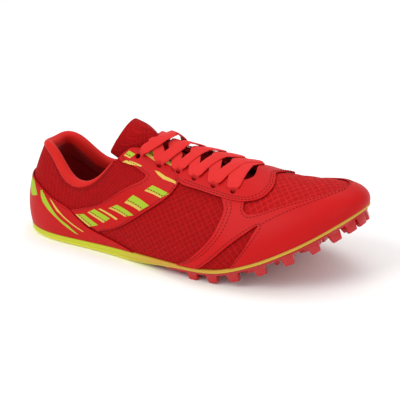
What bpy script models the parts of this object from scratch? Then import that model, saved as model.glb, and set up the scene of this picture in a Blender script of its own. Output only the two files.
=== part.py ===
# Track spike shoe, right foot, standing on its sole.
# X runs from the heel (0) to the toe, Y to the big toe side, Z up from the floor. Units are metres.
import math

import bmesh
import bpy
import numpy as np
from mathutils import Matrix, Vector

LENGTH = 0.282
BALL_LATERAL = 0.0525
BALL_MEDIAL = 0.0440
COLLAR_HALF = 0.0260
INSTEP_HEIGHT = 0.0790
HEEL_STACK = 0.0065
BALL_STACK = 0.0110
TOE_SPRING = 0.0420

GAP = 0.0003
WALL = 0.0020
OVERLAY = 0.0008
OVERLAY_GAP = 0.0008
COLLAR_PAD = 0.0070
TONGUE_THICKNESS = 0.0034
TONGUE_WIDTH = 0.0340
TONGUE_CENTRE = -0.0012
INSOLE_THICKNESS = 0.0032
FORE_EDGE = 0.0030
MIDSOLE_LIP = 0.0008
EYELET_RADIUS = 0.0021
LACE_WIDTH = 0.0072
LACE_THICKNESS = 0.0012
LACE_POINTS = 6
LACE_LIFTS = ((0.0230, 0.0068), (0.009, 0.0055), (0.003, 0.003), (0.0, 0.001), (0.0, 0.0), (0.0, 0.0))

PLATE = 0.0014
PRONG_RECESS = 0.0036
PLATE_INSET = 0.0016
RIB_HEIGHT = 0.0017
RIB_WIDTH = 0.0030
BOSS_RADIUS = 0.0087
BOSS_HEIGHT = 0.0032
SEAT_RADIUS = 0.0041
SEAT_BORE = 0.0024
SEAT_HEIGHT = 0.0030
LUG_HEIGHT = 0.0066
LUG_LENGTH = 0.0095
LUG_WIDTH = 0.0060
LUG_TIP = 0.55

# The last, a row for each station from the heel centre to the toe centre. Foot outline as shares of the
# length and of the ball's two half widths, top rail as shares of length, collar half width and instep
# height above the outline, then the wall's flare and lean in degrees and its two handles as instep shares.
LAST_COLUMNS = ("lat_x", "lat_y", "med_x", "med_y", "top_x", "top_y", "lat_top", "med_top",
                "flare", "rise", "lean", "reach")
LAST = (
    (0.000, 0.00, 0.000, 0.00, 0.079, 0.00, 0.863, 0.863, 9, 0.32, 30, 0.28),
    (0.028, 0.37, 0.028, 0.42, 0.086, 0.46, 0.873, 0.873, 9, 0.29, 27, 0.28),
    (0.113, 0.57, 0.106, 0.64, 0.132, 0.73, 0.804, 0.810, 10, 0.25, 13, 0.25),
    (0.227, 0.64, 0.213, 0.63, 0.198, 1.00, 0.590, 0.585, 10, 0.24, 10, 0.23),
    (0.348, 0.72, 0.333, 0.56, 0.290, 0.98, 0.640, 0.660, 8, 0.24, 24, 0.25),
    (0.461, 0.85, 0.447, 0.59, 0.370, 0.50, 0.882, 0.882, 7, 0.24, 50, 0.30),
    (0.560, 0.95, 0.553, 0.75, 0.493, 0.00, 0.862, 0.862, 7, 0.235, 72, 0.34),
    (0.656, 1.00, 0.652, 0.93, 0.603, 0.00, 0.791, 0.791, 8, 0.22, 84, 0.355),
    (0.752, 0.97, 0.748, 1.00, 0.706, 0.00, 0.646, 0.646, 9.5, 0.20, 87, 0.34),
    (0.848, 0.82, 0.848, 0.92, 0.793, 0.00, 0.481, 0.481, 11, 0.185, 88, 0.315),
    (0.926, 0.57, 0.929, 0.69, 0.853, 0.00, 0.327, 0.327, 12.5, 0.165, 90, 0.28),
    (0.980, 0.27, 0.980, 0.41, 0.887, 0.00, 0.213, 0.213, 13.5, 0.145, 90, 0.24),
    (1.000, -0.04, 1.000, 0.045, 0.901, 0.00, 0.165, 0.165, 14, 0.13, 90, 0.20),
)
STATIONS = len(LAST) - 1
RIDGE_FROM = 6
SECTION_STEPS = 6
ROUND_STEPS = 10
EYELET_SIDES = 6

# Height of the upper's lower edge: length share, stack share from heel (0) to ball (1), toe spring share.
SIDE_LINE = ((0.00, 0.18, 0.0), (0.11, 0.00, 0.0), (0.25, 0.09, 0.0), (0.39, 0.40, 0.0), (0.52, 0.78, 0.0),
             (0.62, 0.96, 0.0), (0.68, 1.00, 0.035), (0.762, 1.00, 0.19), (0.887, 1.00, 0.56), (1.0, 1.0, 1.0))
TREAD_END = 0.37
FORE_START = 0.60
HEEL_ROUND = 0.045

# How far up the last the wall reaches round the collar: station, share of the section.
COLLAR_EDGE = ((0, 0.92), (1, 0.92), (2, 0.86), (2.5, 0.83), (3, 0.87), (3.5, 0.91), (4, 0.94), (4.5, 0.965),
               (5, 0.975))
# Edges of the throat, lateral and medial, and the eyelets beside them: station, share of the section.
THROAT_LATERAL = ((5.0, 0.975), (5.2, 0.950), (5.6, 0.880), (6.1, 0.845), (6.6, 0.815), (7.2, 0.790), (7.8, 0.785))
THROAT_MEDIAL = ((5.0, 0.975), (5.2, 0.965), (5.6, 0.945), (6.1, 0.930), (6.6, 0.920), (7.2, 0.915), (7.8, 0.915))
THROAT_FRONT = ((8.02, 0.82), (8.13, 0.87), (8.13, 0.96), (8.05, 1.04))
EYELETS_LATERAL = ((5.17, 0.870), (5.63, 0.780), (6.10, 0.745), (6.57, 0.715), (7.13, 0.690), (7.68, 0.680))
EYELETS_MEDIAL = ((5.30, 0.902), (5.76, 0.883), (6.36, 0.867), (6.95, 0.858), (7.45, 0.848), (7.94, 0.838))

COLLAR_END = 4.5
COLLAR_STEP = 0.3
COLLAR_CLEAR = 0.006
COLLAR_SLACK = 0.0012

# Overlay outlines on one side: station, share of the section. The other side mirrors them.
COUNTER_EDGE = ((0.0, 0.545), (0.8, 0.53), (1.5, 0.50), (2.1, 0.47), (2.82, 0.465), (3.52, 0.20), (4.65, 0.02))
SASH_EDGE = ((3.66, 0.215), (4.60, 0.33), (5.29, 0.43), (5.85, 0.545), (6.12, 0.655), (6.10, 0.69), (5.92, 0.77))
SASH_TOP = ((4.70, 0.950), (4.80, 0.88), (5.20, 0.745), (5.32, 0.69), (5.08, 0.645), (4.43, 0.63), (3.51, 0.60),
            (2.93, 0.475))
STRAP_EDGE = ((5.97, 0.78), (6.15, 0.70), (6.17, 0.655), (6.75, 0.635), (7.36, 0.62), (7.50, 0.53), (7.40, 0.41),
              (7.20, 0.30), (6.70, 0.14), (6.15, 0.02), (6.84, 0.02), (7.28, 0.13), (7.67, 0.235), (8.05, 0.32),
              (8.36, 0.38), (8.15, 0.495), (8.04, 0.53), (8.00, 0.60), (8.30, 0.635), (8.62, 0.70), (8.86, 0.80),
              (8.98, 0.93))
TOE_CAP_EDGE = ((7.74, 0.02), (8.15, 0.20), (8.42, 0.375), (8.21, 0.495), (8.55, 0.52), (9.41, 0.585),
                (10.54, 0.625), (11.3, 0.63), (12.0, 0.63))

# Tongue, from its end under the vamp to its tip: centre x and z, edge x and z, edge y and its tilt.
TONGUE_COLUMNS = ("mid_x", "mid_z", "edge_x", "edge_z", "edge_y", "tilt")
TONGUE = (
    (0.770, 0.715, 0.760, 0.575, 1.20, 0.00),
    (0.682, 0.790, 0.664, 0.610, 1.30, 0.00),
    (0.587, 0.853, 0.567, 0.640, 1.25, 0.00),
    (0.515, 0.905, 0.478, 0.690, 1.02, 0.00),
    (0.462, 0.980, 0.392, 0.760, 0.72, 0.00),
    (0.418, 1.120, 0.325, 0.890, 0.76, -0.03),
    (0.352, 1.195, 0.323, 0.980, 1.14, -0.08),
)

# Spike plate, seen from below: length share, half width share, positive to the lateral side.
PRONG_LATERAL = ((0.530, 0.90), (0.497, 0.84), (0.437, 0.70), (0.369, 0.53), (0.273, 0.32), (0.185, 0.16),
                 (0.152, 0.12))
PRONG_MEDIAL = ((0.145, 0.07), (0.152, 0.03), (0.205, 0.03), (0.273, 0.055), (0.355, 0.00), (0.436, -0.08),
                (0.510, -0.22), (0.585, -0.42), (0.645, -0.68))
POCKET_FRONT = ((0.620, -0.60), (0.620, 0.97), (0.560, 0.96))
PLATE_FROM = (5.75, 6.75)
SEATS = ((0.890, 0.44), (0.766, 0.71), (0.576, 0.72), (0.652, 0.29), (0.918, -0.27), (0.791, -0.46), (0.681, -0.42))
RIBS = (
    (2, ((0.890, 0.44), (0.83, 0.60), (0.766, 0.71))),
    (2, ((0.766, 0.71), (0.67, 0.79), (0.576, 0.72))),
    (1, ((0.576, 0.72), (0.652, 0.29))),
    (2, ((0.918, -0.27), (0.86, -0.40), (0.791, -0.46))),
    (1, ((0.791, -0.46), (0.681, -0.42))),
    (1, ((0.681, -0.42), (0.652, 0.29))),
    (2, ((0.652, 0.29), (0.54, 0.27), (0.43, 0.15), (0.36, 0.06))),
    (2, ((0.681, -0.42), (0.58, -0.34), (0.50, -0.15), (0.43, -0.02), (0.355, 0.06), (0.27, 0.105), (0.175, 0.085))),
    (2, ((0.576, 0.72), (0.50, 0.77), (0.43, 0.62), (0.36, 0.45), (0.27, 0.26), (0.175, 0.105))),
    (1, ((0.355, 0.06), (0.345, 0.40))),
)
# Windows in the plate: centre, size as a share of the ball's width, turn in degrees.
WINDOWS = (
    (0.862, -0.16, 0.105, 20), (0.825, -0.08, 0.100, 80), (0.790, 0.03, 0.105, 20), (0.745, -0.05, 0.105, 80),
    (0.712, 0.10, 0.095, 20), (0.700, -0.10, 0.080, 80), (0.622, -0.12, 0.100, 50), (0.582, 0.06, 0.095, 110),
)
LEAF = ((0.600, 0.42), (0.570, 0.545), (0.528, 0.60), (0.470, 0.54), (0.415, 0.41), (0.455, 0.36), (0.520, 0.35))
# Lugs in the field: centre, turn in degrees, size share.
LUGS = (
    (0.924, 0.19, 100, 0.9), (0.942, 0.01, 80, 0.8), (0.888, 0.05, 90, 0.9), (0.857, 0.20, 110, 0.9),
    (0.829, 0.36, 110, 0.9), (0.801, 0.50, 120, 0.9), (0.760, 0.40, 100, 0.9), (0.712, 0.56, 95, 0.9),
    (0.660, 0.60, 80, 1.0), (0.630, -0.70, 100, 1.0),
)
EDGE_LUGS = ((6.55, -1), (7.15, -1), (7.75, -1), (8.45, -1), (9.15, -1), (9.85, -1), (10.5, -1), (11.1, -1),
             (11.7, -1), (11.45, 1), (10.85, 1), (10.2, 1), (9.45, 1), (8.75, 1), (8.05, 1), (7.35, 1))


def column(name):
    return np.array([row[LAST_COLUMNS.index(name)] for row in LAST], dtype=float)


# Cubic spline through evenly spaced values; an end is level where the flag is set, else free of bend.
def spline(values, at, level_start=True, level_end=True):
    values = np.asarray(values, dtype=float)
    count = len(values)
    matrix = np.zeros((count, count))
    right = np.zeros(count)
    for i in range(1, count - 1):
        matrix[i, i - 1:i + 2] = (1, 4, 1)
        right[i] = 6 * (values[i - 1] - 2 * values[i] + values[i + 1])
    matrix[0, :2] = (2, 1) if level_start else (1, 0)
    right[0] = 6 * (values[1] - values[0]) if level_start else 0
    matrix[-1, -2:] = (1, 2) if level_end else (0, 1)
    right[-1] = 6 * (values[-2] - values[-1]) if level_end else 0
    bend = np.linalg.solve(matrix, right)
    at = np.asarray(at, dtype=float)
    index = np.clip(np.floor(at).astype(int), 0, count - 2)
    t = at - index
    straight = values[index] * (1 - t) + values[index + 1] * t
    return straight + (((1 - t) ** 3 - 1 + t) * bend[index] + (t ** 3 - t) * bend[index + 1]) / 6


# Smooth curve through points of unequal spacing that never overshoots them.
def flowing(xs, ys, x):
    xs, ys = np.asarray(xs, dtype=float), np.asarray(ys, dtype=float)
    steps = np.diff(xs)
    slopes = np.diff(ys) / steps
    tangent = np.zeros(len(xs))
    for i in range(1, len(xs) - 1):
        if slopes[i - 1] * slopes[i] > 0:
            tangent[i] = 2 * slopes[i - 1] * slopes[i] / (slopes[i - 1] + slopes[i])
    tangent[0], tangent[-1] = slopes[0], slopes[-1]
    x = np.asarray(x, dtype=float)
    i = np.clip(np.searchsorted(xs, x) - 1, 0, len(xs) - 2)
    t = (x - xs[i]) / steps[i]
    inside = ((1 + 2 * t) * (1 - t) ** 2 * ys[i] + t * (1 - t) ** 2 * steps[i] * tangent[i]
              + t * t * (3 - 2 * t) * ys[i + 1] + t * t * (t - 1) * steps[i] * tangent[i + 1])
    beyond = ys[-1] + (x - xs[-1]) * tangent[-1]
    return np.where(x > xs[-1], beyond, inside)


def side_line(x):
    share, stack, spring = np.array(SIDE_LINE).T
    heights = HEEL_STACK + stack * (BALL_STACK - HEEL_STACK) + spring * TOE_SPRING
    return flowing(share * LENGTH, heights, x)


def smooth_step(x, start, end):
    t = np.clip((np.asarray(x, dtype=float) - start) / (end - start), 0, 1)
    return t * t * (3 - 2 * t)


def midsole_bottom(x):
    x = np.asarray(x, dtype=float)
    lifted = smooth_step(x, TREAD_END * LENGTH, FORE_START * LENGTH) * (side_line(x) - FORE_EDGE)
    rounded = 0.35 * HEEL_STACK * np.clip(1 - x / (HEEL_ROUND * LENGTH), 0, 1) ** 2
    return lifted + rounded


def plate_top(x):
    recess = (PRONG_RECESS + 2 * GAP) * (1 - smooth_step(x, 0.42 * LENGTH, 0.58 * LENGTH)) - GAP
    return midsole_bottom(x) - GAP + recess


# Four rails of one section: foot outline, two handles and the top rail. Side is -1 lateral, 1 medial.
def rails(k, side):
    k = np.asarray(k, dtype=float)
    half, name = (BALL_LATERAL, "lat") if side < 0 else (BALL_MEDIAL, "med")
    plan_x = column(name + "_x") * LENGTH
    plan_y = column(name + "_y") * half * side
    step = 1e-3
    low, high = np.clip(k - step, 0, STATIONS), np.clip(k + step, 0, STATIONS)
    x, y = spline(plan_x, k), spline(plan_y, k, False, False)
    out_x = (spline(plan_y, high, False, False) - spline(plan_y, low, False, False)) * side * -1
    out_y = (spline(plan_x, high) - spline(plan_x, low)) * side
    norm = np.hypot(out_x, out_y)
    outward = np.stack([out_x / norm, out_y / norm, np.zeros_like(x)], -1)
    foot = np.stack([x, y, side_line(x)], -1)
    top_x = spline(column("top_x"), k) * LENGTH
    opening = spline(column("top_y")[:RIDGE_FROM + 1], np.minimum(k, RIDGE_FROM), False, False)
    top_y = np.where(k >= RIDGE_FROM, 0, np.maximum(opening, 0)) * COLLAR_HALF * side
    base = side_line(spline(column("lat_x") * LENGTH, k))
    top_z = base + spline(column(name + "_top"), k) * INSTEP_HEIGHT
    top = np.stack([top_x, top_y, top_z], -1)
    flare = np.radians(spline(column("flare"), k))[..., None]
    lean = np.radians(spline(column("lean"), k))[..., None]
    rise = spline(column("rise"), k)[..., None] * INSTEP_HEIGHT
    reach = spline(column("reach"), k)[..., None] * INSTEP_HEIGHT
    up = np.array([0.0, 0.0, 1.0])
    toward = (foot - top) * np.array([1, 1, 0])
    toward = toward / np.maximum(np.linalg.norm(toward, axis=-1, keepdims=True), 1e-9)
    blend = np.clip((k - 3) / 2.5, 0, 1)[..., None]
    toward = toward * blend + outward * (1 - blend)
    toward = toward / np.linalg.norm(toward, axis=-1, keepdims=True)
    lower = foot + rise * (np.sin(flare) * outward + np.cos(flare) * up)
    upper = top + reach * (np.sin(lean) * toward - np.cos(lean) * up)
    return foot, lower, upper, top, outward


def section_point(k, w, side):
    foot, lower, upper, top, _ = rails(k, side)
    w = np.asarray(w, dtype=float)[..., None]
    return ((1 - w) ** 3 * foot + 3 * (1 - w) ** 2 * w * lower + 3 * (1 - w) * w * w * upper + w ** 3 * top)


# A point of the last at station k and share w of its section, moved out along the surface's normal.
def last_point(k, w, side, out):
    step = 2e-3
    k, w = np.asarray(k, dtype=float), np.asarray(w, dtype=float)
    along = (section_point(np.clip(k + step, 0, STATIONS), w, side)
             - section_point(np.clip(k - step, 0, STATIONS), w, side))
    upward = (section_point(k, np.clip(w + step, 0, 1), side)
              - section_point(k, np.clip(w - step, 0, 1), side))
    normal = np.cross(along, upward) * -side
    seam = (k < 1e-6) | (k > STATIONS - 1e-6)
    normal[..., 1] = np.where(seam, 0, normal[..., 1])
    normal = normal / np.linalg.norm(normal, axis=-1, keepdims=True)
    return section_point(k, w, side) + np.asarray(out)[..., None] * normal


# Over the instep: v runs 0 to 1 up the lateral side and 1 to 2 down the medial side.
def over(k, v, out):
    lateral = last_point(k, np.minimum(v, 1), -1, out)
    medial = last_point(k, np.clip(2 - v, 0, 1), 1, out)
    seam = (k < 1e-6) | (k > STATIONS - 1e-6)
    mirrored = last_point(k, np.clip(2 - v, 0, 1), -1, out)
    medial = np.where(seam[..., None], mirrored, medial)
    return np.where((v <= 1)[..., None], lateral, medial)


# Round the heel or toe: u is the station on the lateral side, past the toe or below zero on the medial.
def around(u, w, out):
    station = np.where(u < 0, -u, np.where(u > STATIONS, 2 * STATIONS - u, u))
    medial = (u < 0) | (u > STATIONS)
    return np.where(medial[..., None], last_point(station, w, 1, out), last_point(station, w, -1, out))


def new_collection(name):
    collection = bpy.data.collections.new(name)
    bpy.context.scene.collection.children.link(collection)
    return collection


def material(name, colour, roughness, metallic=0.0):
    made = bpy.data.materials.new(name)
    made.use_nodes = True
    shader = made.node_tree.nodes["Principled BSDF"]
    shader.inputs["Base Color"].default_value = (*colour, 1)
    shader.inputs["Roughness"].default_value = roughness
    shader.inputs["Metallic"].default_value = metallic
    made.diffuse_color = (*colour, 1)
    return made


def add_object(name, mesh, collection, finish=None):
    obj = bpy.data.objects.new(name, mesh)
    collection.objects.link(obj)
    if finish:
        mesh.materials.clear()
        mesh.materials.append(finish)
    else:
        obj.hide_render = True
        obj.display_type = "WIRE"
    return obj


def mesh_from(name, form):
    bmesh.ops.recalc_face_normals(form, faces=form.faces)
    if form.calc_volume(signed=True) < 0:
        bmesh.ops.reverse_faces(form, faces=form.faces)
    mesh = bpy.data.meshes.new(name)
    form.to_mesh(mesh)
    form.free()
    mesh.shade_smooth()
    mesh.set_sharp_from_angle(angle=math.radians(38))
    return mesh


# Closed body through rings of points, each ring with the same number of points.
def loft(name, rings):
    form = bmesh.new()
    rows = [[form.verts.new(point) for point in ring] for ring in rings]
    count = len(rings[0])
    for low, high in zip(rows, rows[1:]):
        for i in range(count):
            form.faces.new((low[i], low[(i + 1) % count], high[(i + 1) % count], high[i]))
    form.faces.new(rows[0])
    form.faces.new(rows[-1])
    bmesh.ops.triangulate(form, faces=form.faces)
    return mesh_from(name, form)


# Flat plate from outlines, the first one outside and the others holes, between two levels.
def flat_solid(outlines, half_thickness):
    curve = bpy.data.curves.new("outline", "CURVE")
    curve.dimensions = "2D"
    curve.fill_mode = "BOTH"
    curve.extrude = half_thickness
    for outline in outlines:
        line = curve.splines.new("POLY")
        line.points.add(len(outline) - 1)
        line.points.foreach_set("co", np.array([(x, y, 0, 1) for x, y in outline], dtype=float).ravel())
        line.use_cyclic_u = True
    holder = bpy.data.objects.new("outline", curve)
    bpy.context.scene.collection.objects.link(holder)
    bpy.context.view_layer.update()
    mesh = bpy.data.meshes.new_from_object(holder.evaluated_get(bpy.context.evaluated_depsgraph_get()))
    bpy.data.objects.remove(holder)
    form = bmesh.new()
    form.from_mesh(mesh)
    bmesh.ops.remove_doubles(form, verts=form.verts, dist=1e-6)
    bmesh.ops.dissolve_limit(form, angle_limit=0.01, verts=form.verts, edges=form.edges, delimit=set())
    return form


def slice_form(form, axis, places):
    direction = Vector((1, 0, 0)) if axis == "x" else Vector((0, 1, 0))
    for place in places:
        geometry = form.verts[:] + form.edges[:] + form.faces[:]
        bmesh.ops.bisect_plane(form, geom=geometry, dist=1e-6, plane_co=direction * place, plane_no=direction)


# A sheet cut to its outlines on the flat, sliced and laid on the last between two distances from it.
def laid_sheet(name, outlines, wrap, inner, outer, stations, shares, seam=False):
    form = flat_solid(outlines, 0.5)
    slice_form(form, "x", stations)
    slice_form(form, "y", shares)
    if seam:
        ends = [face for face in form.faces
                if all(vert.co.x < 1e-5 for vert in face.verts)
                or all(vert.co.x > STATIONS - 1e-5 for vert in face.verts)]
        bmesh.ops.delete(form, geom=ends, context="FACES")
    bmesh.ops.triangulate(form, faces=form.faces)
    flat = np.array([vert.co for vert in form.verts])
    out = np.where(flat[:, 2] < 0, inner, outer)
    places = wrap(flat[:, 0], flat[:, 1], out)
    for vert, place in zip(form.verts, places):
        vert.co = place
    if seam:
        bmesh.ops.remove_doubles(form, verts=form.verts, dist=2e-5)
    return mesh_from(name, form)


def share_steps(start, end, steps):
    return [start + (end - start) * i / steps for i in range(1, steps)]


def station_lines(first, last):
    lines = []
    for whole in range(-STATIONS, 2 * STATIONS):
        station = whole if 0 <= whole < STATIONS else (-whole - 1 if whole < 0 else 2 * STATIONS - 1 - whole)
        steps = 4 if station >= 10 else 2 if station in (3, 7, 8) else 3
        lines += [whole + i / steps for i in range(steps)]
    return [line for line in lines if first + 1e-6 < line < last - 1e-6]


def mirrored(points):
    return [(k, 2 - v) for k, v in reversed(points)]


def eyelet_hole(k, v):
    section = np.linalg.norm(over(np.array([k]), np.array([v + 0.01]), 0) - over(np.array([k]), np.array([v]), 0))
    station = np.linalg.norm(over(np.array([k + 0.01]), np.array([v]), 0) - over(np.array([k]), np.array([v]), 0))
    angles = [math.tau * i / EYELET_SIDES for i in range(EYELET_SIDES)]
    return [(k + EYELET_RADIUS / station * 0.01 * math.cos(a), v + EYELET_RADIUS / section * 0.01 * math.sin(a))
            for a in angles]


def eyelet_places(first, last):
    lateral = list(EYELETS_LATERAL)[first:last]
    medial = [(k, 2 - w) for k, w in EYELETS_MEDIAL][first:last]
    return lateral, medial


def throat_outline():
    medial = [(k, 2 - w) for k, w in THROAT_MEDIAL]
    return list(THROAT_LATERAL) + list(THROAT_FRONT) + medial[::-1]


def build_upper(collection, finish):
    collar = [(k, flowing(*zip(*COLLAR_EDGE), k)) for k in np.arange(0, 4.9, COLLAR_STEP)]
    opening = collar + throat_outline() + [(k, 2 - w) for k, w in reversed(collar)]
    outline = [(0, 0), (STATIONS, 0), (STATIONS, 2), (0, 2)] + opening[::-1]
    lateral, medial = eyelet_places(0, 6)
    holes = [eyelet_hole(k, v) for k, v in lateral + medial]
    mesh = laid_sheet("upper", [outline] + holes, over, -WALL, 0.0, station_lines(0, STATIONS),
                      share_steps(0, 2, 2 * SECTION_STEPS), seam=True)
    return add_object("upper", mesh, collection, finish)


def raised(name, collection, outlines, wrap, first, last, shares, finish):
    mesh = laid_sheet(name, outlines, wrap, OVERLAY_GAP, OVERLAY_GAP + OVERLAY, station_lines(first, last), shares)
    return add_object(name, mesh, collection, finish)


def build_overlays(collection, finish):
    shares = share_steps(0, 1, SECTION_STEPS)
    counter = [(k, w) for k, w in COUNTER_EDGE]
    other = [(-k, w) for k, w in reversed(COUNTER_EDGE[1:])]
    raised("heel_counter", collection, [other + counter], around, -5, 5, shares, finish)
    cap = list(TOE_CAP_EDGE)
    far = [(2 * STATIONS - k, w) for k, w in reversed(TOE_CAP_EDGE[:-1])]
    raised("toe_cap", collection, [cap + far], around, 7, 17, shares, finish)
    both = share_steps(0, 2, 2 * SECTION_STEPS)
    back = [(k, w) for k, w in THROAT_LATERAL if k < 5.9]
    seam = 5.93
    lateral_edge = float(flowing(*zip(*THROAT_LATERAL), seam))
    medial_edge = float(flowing(*zip(*THROAT_MEDIAL), seam))
    lateral, medial = eyelet_places(0, 2)
    sash = list(SASH_EDGE) + [(seam, lateral_edge)] + back[::-1] + list(SASH_TOP)
    raised("side_sash_lateral", collection, [sash] + [eyelet_hole(*place) for place in lateral], over,
           2, 7, shares, finish)
    back = [(k, w) for k, w in THROAT_MEDIAL if k < 5.9]
    sash = mirrored(list(SASH_EDGE) + [(seam, medial_edge)] + back[::-1] + list(SASH_TOP))
    raised("side_sash_medial", collection, [sash] + [eyelet_hole(*place) for place in medial], over,
           2, 7, share_steps(1, 2, SECTION_STEPS), finish)
    seam += 0.04
    front = [(k, v) for k, v in throat_outline() if k > seam]
    lateral_edge = float(flowing(*zip(*THROAT_LATERAL), seam))
    medial_edge = float(flowing(*zip(*THROAT_MEDIAL), seam))
    outline = (list(STRAP_EDGE) + mirrored(list(STRAP_EDGE)) + [(seam, 2 - medial_edge)] + front[::-1]
               + [(seam, lateral_edge)])
    lateral, medial = eyelet_places(2, 6)
    raised("eyestay", collection, [outline] + [eyelet_hole(*place) for place in lateral + medial], over,
           5, 10, both, finish)


# Padded roll round the opening: it lies on the wall's top edge, rolls inward and lines the inside.
def build_collar(collection, finish):
    profile = ((0.0, 0.0), (0.45, -0.06), (0.90, 0.10), (1.00, 0.45), (0.80, 0.88), (0.25, 1.05),
               (-0.70, 1.00), (-1.70, 0.72), (-2.30, 0.60), (-2.30, 0.45), (0.0, 0.45))
    rings = []
    for u in [-COLLAR_END] + station_lines(-COLLAR_END, COLLAR_END) + [COLLAR_END]:
        k, side = abs(u), (1 if u < 0 else -1)
        edge = float(flowing(*zip(*COLLAR_EDGE), k))
        band = 1 - edge
        slim = 1 - 0.55 * float(smooth_step(k, 3.4, COLLAR_END))
        ring = []
        for share, depth in profile:
            w = edge + COLLAR_CLEAR + share * (band - COLLAR_CLEAR) if share >= 0 else edge + share * 0.11
            inward = depth * COLLAR_PAD * slim
            if depth >= 0.45:
                inward = max(inward, WALL + COLLAR_SLACK)
            ring.append(last_point(np.array([k]), np.array([w]), side, -inward)[0])
        rings.append(ring)
    return add_object("collar_lining", loft("collar_lining", rings), collection, finish)


def tongue_point(s, across):
    names = dict(zip(TONGUE_COLUMNS, np.array(TONGUE).T))
    value = {name: float(spline(row, s, False, False)) for name, row in names.items()}
    bow = across * across
    x = (value["mid_x"] + (value["edge_x"] - value["mid_x"]) * bow) * LENGTH
    z = (value["mid_z"] + (value["edge_z"] - value["mid_z"]) * bow - value["tilt"] * across) * INSTEP_HEIGHT
    return Vector((x, TONGUE_CENTRE + across * value["edge_y"] * TONGUE_WIDTH / 2, z))


def build_tongue(collection, finish):
    form = bmesh.new()
    rows = []
    for s in np.linspace(0, len(TONGUE) - 1, 15):
        end = max(0.0, s - (len(TONGUE) - 1.6)) / 0.6
        narrow = math.sqrt(max(0.0, 1 - 0.45 * end ** 3))
        rows.append([form.verts.new(tongue_point(s, a * narrow)) for a in np.linspace(-1, 1, 8)])
    for low, high in zip(rows, rows[1:]):
        for i in range(len(low) - 1):
            form.faces.new((low[i], low[i + 1], high[i + 1], high[i]))
    mesh = mesh_from("tongue", form)
    tongue = add_object("tongue", mesh, collection, finish)
    thicken = tongue.modifiers.new("thickness", "SOLIDIFY")
    thicken.thickness = TONGUE_THICKNESS
    thicken.offset = 0
    return tongue


def foot_outline(outset, w=0.0):
    stations = [0] + station_lines(0, STATIONS) + [STATIONS]
    sides = []
    for side in (-1, 1):
        k = np.array(stations)
        if w:
            points = last_point(k, np.full(len(k), w), side, outset)
        else:
            foot, _, _, _, outward = rails(k, side)
            points = foot + outset * outward
        sides.append(points)
    return sides


# Layer of the sole as a ladder between its two edges, from rings given top to bottom.
def ladder(name, rings):
    form = bmesh.new()
    levels = []
    for lateral, medial in rings:
        left = [form.verts.new(point) for point in lateral]
        right = [left[0]] + [form.verts.new(point) for point in medial[1:-1]] + [left[-1]]
        levels.append((left, right))
    for left, right in (levels[0], levels[-1]):
        for i in range(len(left) - 1):
            corners = (left[i], left[i + 1], right[i + 1], right[i])
            form.faces.new(list(dict.fromkeys(corners)))
    for upper, lower in zip(levels, levels[1:]):
        for side in (0, 1):
            for i in range(len(upper[side]) - 1):
                form.faces.new((upper[side][i], upper[side][i + 1], lower[side][i + 1], lower[side][i]))
    bmesh.ops.triangulate(form, faces=form.faces)
    return mesh_from(name, form)


def build_insole(collection, finish):
    rings = []
    for rise in (INSOLE_THICKNESS, 0.0):
        sides = foot_outline(-(WALL + 2 * GAP), w=0.015)
        for side in sides:
            side[:, 2] = side_line(side[:, 0]) + rise
        rings.append(sides)
    return add_object("insole", ladder("insole", rings), collection, finish)


def build_midsole(collection, cutters, finish):
    levels = ((0.0, 0.8), (0.35, 1.5), (0.80, 0.2), (1.0, -2.4))
    rings = []
    for depth, lip in levels:
        sides = foot_outline(lip * MIDSOLE_LIP)
        plain = foot_outline(0.0)
        for side, edge in zip(sides, plain):
            top = side_line(edge[:, 0]) - GAP
            bottom = midsole_bottom(edge[:, 0])
            side[:, 2] = top + (bottom - top) * depth
        rings.append(sides)
    midsole = add_object("midsole", ladder("midsole", rings), collection, finish)
    pocket = flat_solid([prong_outline(GAP)], 0.5)
    slice_form(pocket, "x", sole_slices())
    bmesh.ops.triangulate(pocket, faces=pocket.faces)
    for vert in pocket.verts:
        vert.co.z = -0.002 if vert.co.z < 0 else float(plate_top(vert.co.x)) + GAP
    cutter = add_object("prong_pocket", mesh_from("prong_pocket", pocket), cutters)
    cut = midsole.modifiers.new("prong pocket", "BOOLEAN")
    cut.object = cutter
    cut.operation = "DIFFERENCE"
    return midsole


def plan_point(share_x, share_y):
    half = BALL_LATERAL if share_y > 0 else BALL_MEDIAL
    return share_x * LENGTH, -share_y * half


# The prong alone, run on under the forefoot, and a little larger for its pocket.
def prong_outline(by):
    points = [plan_point(*row) for row in PRONG_LATERAL + PRONG_MEDIAL[:-1] + POCKET_FRONT]
    path = points + [points[0]]
    result = []
    for i, point in enumerate(points):
        before, after = np.array(path[i - 1 if i else len(points) - 1]), np.array(path[i + 1])
        along = after - before
        normal = np.array((along[1], -along[0])) / np.linalg.norm(along)
        result.append(tuple(np.array(point) - normal * by * 1.6))
    return result


def plate_outline():
    stations = np.array([line for line in station_lines(0, STATIONS)] + [STATIONS])
    lateral_foot, _, _, _, out = rails(stations[stations >= PLATE_FROM[0]], -1)
    lateral = lateral_foot - PLATE_INSET * out
    medial_foot, _, _, _, out = rails(stations[stations >= PLATE_FROM[1]], 1)
    medial = medial_foot - PLATE_INSET * out
    edge = [tuple(point[:2]) for point in lateral[::-1]]
    prong = [plan_point(*row) for row in PRONG_LATERAL + PRONG_MEDIAL]
    return edge + prong + [tuple(point[:2]) for point in medial[:-1]]


def window_outline(share_x, share_y, size, turn):
    x, y = plan_point(share_x, share_y)
    reach = size * (BALL_LATERAL + BALL_MEDIAL) / 2
    points = []
    for corner in range(3):
        angle = math.radians(turn) + math.tau * corner / 3
        points.append((x + reach * math.cos(angle), y + reach * math.sin(angle)))
    return points


# Where the flat plate is sliced so that it can follow the sole's side line.
def sole_slices():
    return np.concatenate([np.arange(0.20, 0.66, 0.055), np.arange(0.685, 0.98, 0.048)]) * LENGTH


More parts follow.
